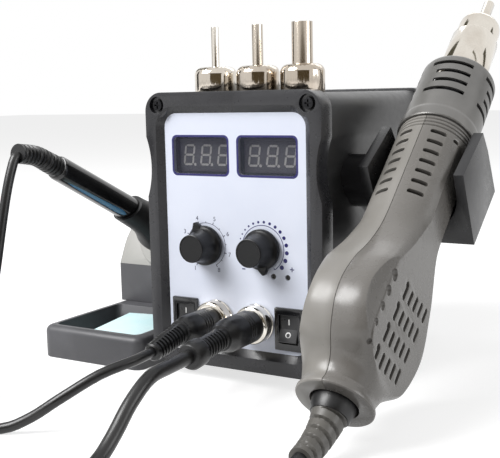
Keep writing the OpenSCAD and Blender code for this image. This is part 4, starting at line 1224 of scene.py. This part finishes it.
def rocker(name, x, body, node):
    dip = SWING * math.tan(TILT)
    side = [(-1.5, 0), (-1.5 - dip, SWING - 0.5), (-1.2 - dip, SWING), (4, SWING * 0.8),
            (4, -SWING * 0.8), (-1.2 - dip, -SWING), (-1.5 - dip, -SWING + 0.5)]
    wedge = cut_out(name, [(-KEY_HALF, y, z) for y, z in side], (2 * KEY_HALF, 0, 0))
    soften(wedge, 0.35, 3, 20)
    marks = [block("on_mark", (-0.32, -0.04, 1.9), (0.32, 0.02, 4.9))]
    clear_choice()
    bpy.ops.mesh.primitive_torus_add(location=(0, 0, -3.1), rotation=UPRIGHT, major_radius=1.2,
                                     minor_radius=0.32, major_segments=32, minor_segments=8)
    ring = fresh("off_mark")
    only(ring)
    ring.scale = (1, 0.12, 1)
    bpy.ops.object.transform_apply(location=False, rotation=False, scale=True)
    marks.append(ring)
    for mark, way in ((marks[0], 1), (marks[1], -1)):
        move(mark, shifted(0, -1.53, 0) @ Matrix.Rotation(way * TILT, 4, "X"))
    place = PANEL @ shifted(x, 1, SWITCH_Z) @ Matrix.Rotation(-TILT, 4, "X")
    done(move(join(marks, name + "_marks"), place), body, finish_of="pale_print")
    return done(move(wedge, place), body, [node], "black_gloss", "rocker_face")


rocker("iron_rocker_key", -SWITCH_X, "iron_switch", "iron_rocker")
rocker("air_rocker_key", SWITCH_X, "air_switch", "air_rocker")

# %% [markdown]
# ## Ribbed reliefs
#
# Where a cord leaves a tool, a rubber sleeve keeps it from being bent sharply. It tapers
# towards the cord, and grooves let it flex. It is a loft too: one ring at each short step
# along the bent path, drawn smaller where a groove runs. On the hot air handle the groove
# winds around like a screw thread, and a smooth turned collar covers the relief's root; its
# near-black rubber also serves as painted shade for the hollow around it.

# %% A ribbed sleeve
def ribbed(name, path, radii, pitch, groove, deep, plain, wound=0):
    """A tapering sleeve along a path in the y-z plane, with grooves after a plain start."""
    line = eased(path, 24)
    widths = eased([(r, 0, 0) for r in radii], 24)
    rings, along = [], 0.0
    total = length_of(line)
    sides = 48
    for k, (place, width) in enumerate(zip(line, widths)):
        if k:
            along += (place - line[k - 1]).length
        ahead = (line[min(k + 1, len(line) - 1)] - line[max(k - 1, 0)]).normalized()
        up = ahead.cross(Vector((1, 0, 0)))
        ring = []
        for j in range(sides):
            angle = 2 * pi * j / sides
            place_in_pitch = ((along - plain) / pitch + wound * j / sides) % 1 * pitch
            slope = min(place_in_pitch, groove - place_in_pitch) / (groove * 0.3)
            cut = deep * min(max(slope, 0), 1) if plain < along < total - 1.2 else 0
            radius = width.x - cut
            ring.append(place + radius * (cos(angle) * Vector((1, 0, 0)) + sin(angle) * up))
        rings.append(ring)
    return loft(name, rings)


# %% Reliefs and the collar
finish("relief_rubber", (90, 88, 84), (108, 103, 96), 0.42, 0.4, 0.02, 0.7, tone=0.3)
tail_path = [(0, 5, 4), (0, -1, -0.9), (0, -4, -3.2), (0, -11, -8), (0, -20, -11.7), (0, -30, -13.6)]
# The collar is a real part, and its near-black rubber also stands in as painted shade for the dark hollow
# around the relief's root.
collar = turned("tail_collar", [(6, -7), (8.2, -7), (8.9, -5.2), (9.4, -2), (10.3, 3), (10.3, 6), (6, 6)], 64)
done(move(collar, HANDLE), "hot_air_handle", finish_of="plug_rubber")
relief = ribbed("tail_relief", [HANDLE_AT + Vector(p) for p in tail_path], [8, 8, 7.8, 6.6, 5.8, 5.1],
                pitch=5.6, groove=1.9, deep=1.4, plain=14, wound=1)
done(move(relief, PANEL), "hot_air_handle", ["handle_tail_relief"], "cord_rubber", "relief_rubber")
iron_path = [(0, 3.6, -1.8), (0, -3.6, 1.8), (0, -9, 4.3), (0, -18, 8.2), iron_relief_end - IRON_AT]
relief = ribbed("iron_cord_relief", [IRON_AT + Vector(p) for p in iron_path], [5.4, 5.5, 5.4, 5.1, 4.9],
                pitch=2.45, groove=1.15, deep=0.95, plain=9.5)
done(move(relief, PANEL), "iron", ["iron_relief"], "cord_rubber", "plug_rubber")

# %% [markdown]
# ## The soldering iron
#
# The handle is turned and widens a little towards the grip. A blue strip is let into its
# lower side: a thin curved plate that starts in a point and ends round. The rubber grip
# keeps its CAD shape, and its lip is cut off at a slant.

# %% Iron handle and grip
def handle_radius(t):
    return 6.5 + 0.55 * t / 63


handle = turned("iron_handle_body", [
    (0, -3.6), (4.9, -3.6), (5.9, -3.2), (6.35, -2.3), (6.45, -1), (6.5, 1), (handle_radius(30), 30),
    (handle_radius(63), 63), (6, 64), (6, 90), (0, 90)], 72)
done(move(handle, IRON), "iron", ["iron_handle"], "black_gloss")
finish("blue_strip", (58, 126, 172), (44, 104, 150), 0.3, 0.5, 0.004, 0.5, Coat_Weight=0.4)
STRIP_AT, STRIP_L, STRIP_HALF, STRIP_PROUD = 4.6, 49.6, 15.5, 0.09
strip_rings = []
for k in range(31):
    t = STRIP_AT + STRIP_L * k / 30
    middle = radians(60 - 7 * k / 30)
    narrowed = min(1, math.sqrt(max(0.0, (30.2 - k) / 3)), (k + 0.1) / 3)
    half = radians(STRIP_HALF * min(1, 0.3 + k / 40)) * narrowed
    outer, inner = handle_radius(t) + STRIP_PROUD, handle_radius(t) - 0.4
    turns = [middle + half * (j / 4 - 1) for j in range(9)]
    ring = [(outer * cos(a), outer * sin(a), t) for a in turns]
    strip_rings.append(ring + [(inner * cos(a), inner * sin(a), t) for a in reversed(turns)])
done(move(loft("iron_blue_strip", strip_rings), IRON), "iron", finish_of="blue_strip")
grip = from_cad("iron_grip", 0)
GRIP_END, GRIP_SLANT = 60, -24
slant = block("slant", (-20, -20, -30), (20, 20, 0))
move(slant, IRON @ shifted(0, 0, GRIP_END) @ about("X", GRIP_SLANT))
carve(grip, [slant])
soften(grip, 0.4 * MM)
done(grip, "iron", ["iron_grip"], "grip_rubber")

# %% [markdown]
# ## The iron's stand
# The foot is a shallow tray with a wide soft rim. A block gets its upright corners rounded
# first, then its top edge, and the pocket for the sponge is cut out after that, with a back
# wall that leans. The column's sloping face and the face of the ring around the hole wear a
# lighter finish of their own, a painted highlight for the light that they reflect from above,
# while the ring's sides keep the darker plastic, so a dark crescent shows beside it.

# %% Tray, column and ring
def choose_edges(piece, wanted):
    """Goes into edit mode with only the edges whose middle and direction pass the test."""
    edit(piece)
    bpy.ops.mesh.select_mode(type="EDGE")
    bpy.ops.mesh.select_all(action="DESELECT")
    mesh = bmesh.from_edit_mesh(piece.data)
    for edge in mesh.edges:
        first, second = (vert.co for vert in edge.verts)
        edge.select_set(wanted((first + second) / 2, (second - first).normalized()))
    bmesh.update_edit_mesh(piece.data)


def round_edges(piece, width, segments, wanted):
    choose_edges(piece, wanted)
    bpy.ops.mesh.bevel(offset=width, segments=segments)
    leave()
    return piece


# The stand's lighter finish is a painted highlight: the reflection of light from above on the column's
# sloping face and on the ring's face.
finish("stand_painted_highlight", (166, 165, 161), (176, 175, 171), 0.5, 0.45, 0.03, 0.5)
STAND_X, STAND_HALF, TRAY_TOP, TRAY_RIM = IRON_AT.x, 34.3, 18 - FOOT, 5.4
tray = block("stand_tray", (STAND_X - STAND_HALF, -6.8, -FOOT), (STAND_X + STAND_HALF, 126, TRAY_TOP))
round_edges(tray, 6, 8, lambda middle, way: abs(way.z) > 0.9)
round_edges(tray, 3.8, 6, lambda middle, way: middle.z > TRAY_TOP - 0.01)
round_edges(tray, 0.8, 2, lambda middle, way: middle.z < 0.01 - FOOT)
pocket = block("pocket", (STAND_X - STAND_HALF + TRAY_RIM, -1.4, 3 - FOOT),
               (STAND_X + STAND_HALF - TRAY_RIM, 60.5, 30))
choose_edges(pocket, lambda middle, way: middle.y > 60 and middle.z < 0)
bpy.ops.transform.translate(value=(0, -9, 0))
leave()
round_edges(pocket, 4, 6, lambda middle, way: abs(way.z) > 0.8)
carve(tray, [pocket])
apply_modifier(tray, "TRIANGULATE")
soften(tray, 0.6, 3)
done(move(tray, PANEL), "station", ["stand_base"], "stand_plastic")
column = from_cad("stand_column", 0.6, flat=0.2)
outward = (IRON.to_3x3() @ Vector((0, 0, -1))).normalized()
# Faces that look out along the iron's axis get the painted highlight.
two_finishes(column, "stand_plastic", "stand_painted_highlight", lambda face: face.normal.dot(outward) > 0.95)
done(column, "station", ["stand_column"], "stand_plastic")
ring = rounded_node("holder_liner", 0.9, segments=3)
# The ring's face gets the painted highlight, and its sides keep the darker plastic, so a dark crescent shows.
two_finishes(ring, "stand_painted_highlight", "stand_plastic", lambda face: face.normal.dot(outward) < 0.25)

# %% [markdown]
# ## The slotted cap
#
# The cap is turned, with a slightly wider band at its foot. Four rows of slots let the
# heat out on each of its four sides, and the rows at both ends are longer. A slot is a
# sector of a ring that is cut out. The heater's tube is chromed where it stands out of the
# cap. Inside the cap it wears a dark steel finish, painted shade, so that the slots look
# black, and so the tube wears two finishes.

# %% Cap with slots
def sector(inner, outer, start, end, low, high):
    """A piece of a ring between two angles, from one height to another."""
    steps = 10
    turns = [radians(start + (end - start) * k / steps) for k in range(steps + 1)]
    points = [(outer * sin(a), -outer * cos(a), low) for a in turns]
    points += [(inner * sin(a), -inner * cos(a), low) for a in reversed(turns)]
    return cut_out("sector", points, (0, 0, high - low))


CAP_L = 44
CAP_SLOT_AT, CAP_SLOT_PITCH, CAP_SLOT_H = 17.9, 6.5, 2.4
side = [(17.3, 0), (19.3, 0), (19.65, 0.5), (19.65, 5), (19.4, 6.4), (19.05, 7.4)]
side += [(19, 8 + 3.48 * k) for k in range(11)]
side += [(18.7, 43.6), (18, CAP_L), (12.7, CAP_L), (12.7, 42.8), (18.1, 42.8), (18.1, 9), (17.3, 8)]
cap = turned("slotted_metal_cap", [(r, CAP_S + height) for r, height in side], 120)
slots = []
for quarter in range(4):
    for row in range(4):
        start = -24 if row in (0, 3) else -13
        low = CAP_S + CAP_SLOT_AT + CAP_SLOT_PITCH * row
        slots.append(sector(15, 21, start + 90 * quarter, 40 + 90 * quarter, low, low + CAP_SLOT_H))
carve(cap, slots)
soften(cap, 0.25, 2)
done(move(cap, HANDLE), "hot_air_handle", ["slotted_cap"], "cap_metal")

# %% The heater's tube
heater = from_cad("heater_tube", 0.3)
cap_end = HANDLE @ Vector((0, 0, CAP_S + CAP_L - 2.5))
axis = (HANDLE.to_3x3() @ Vector((0, 0, 1))).normalized()
edit(heater)
bpy.ops.mesh.bisect(plane_co=cap_end, plane_no=axis)
leave()
# Inside the cap the tube gets the dark steel finish, painted shade so that the slots look black.
two_finishes(heater, "nozzle_chrome", "screw_steel", lambda face: (face.center - cap_end).dot(axis) < 0)
done(heater, "hot_air_handle", ["heater_tube"], "nozzle_chrome")
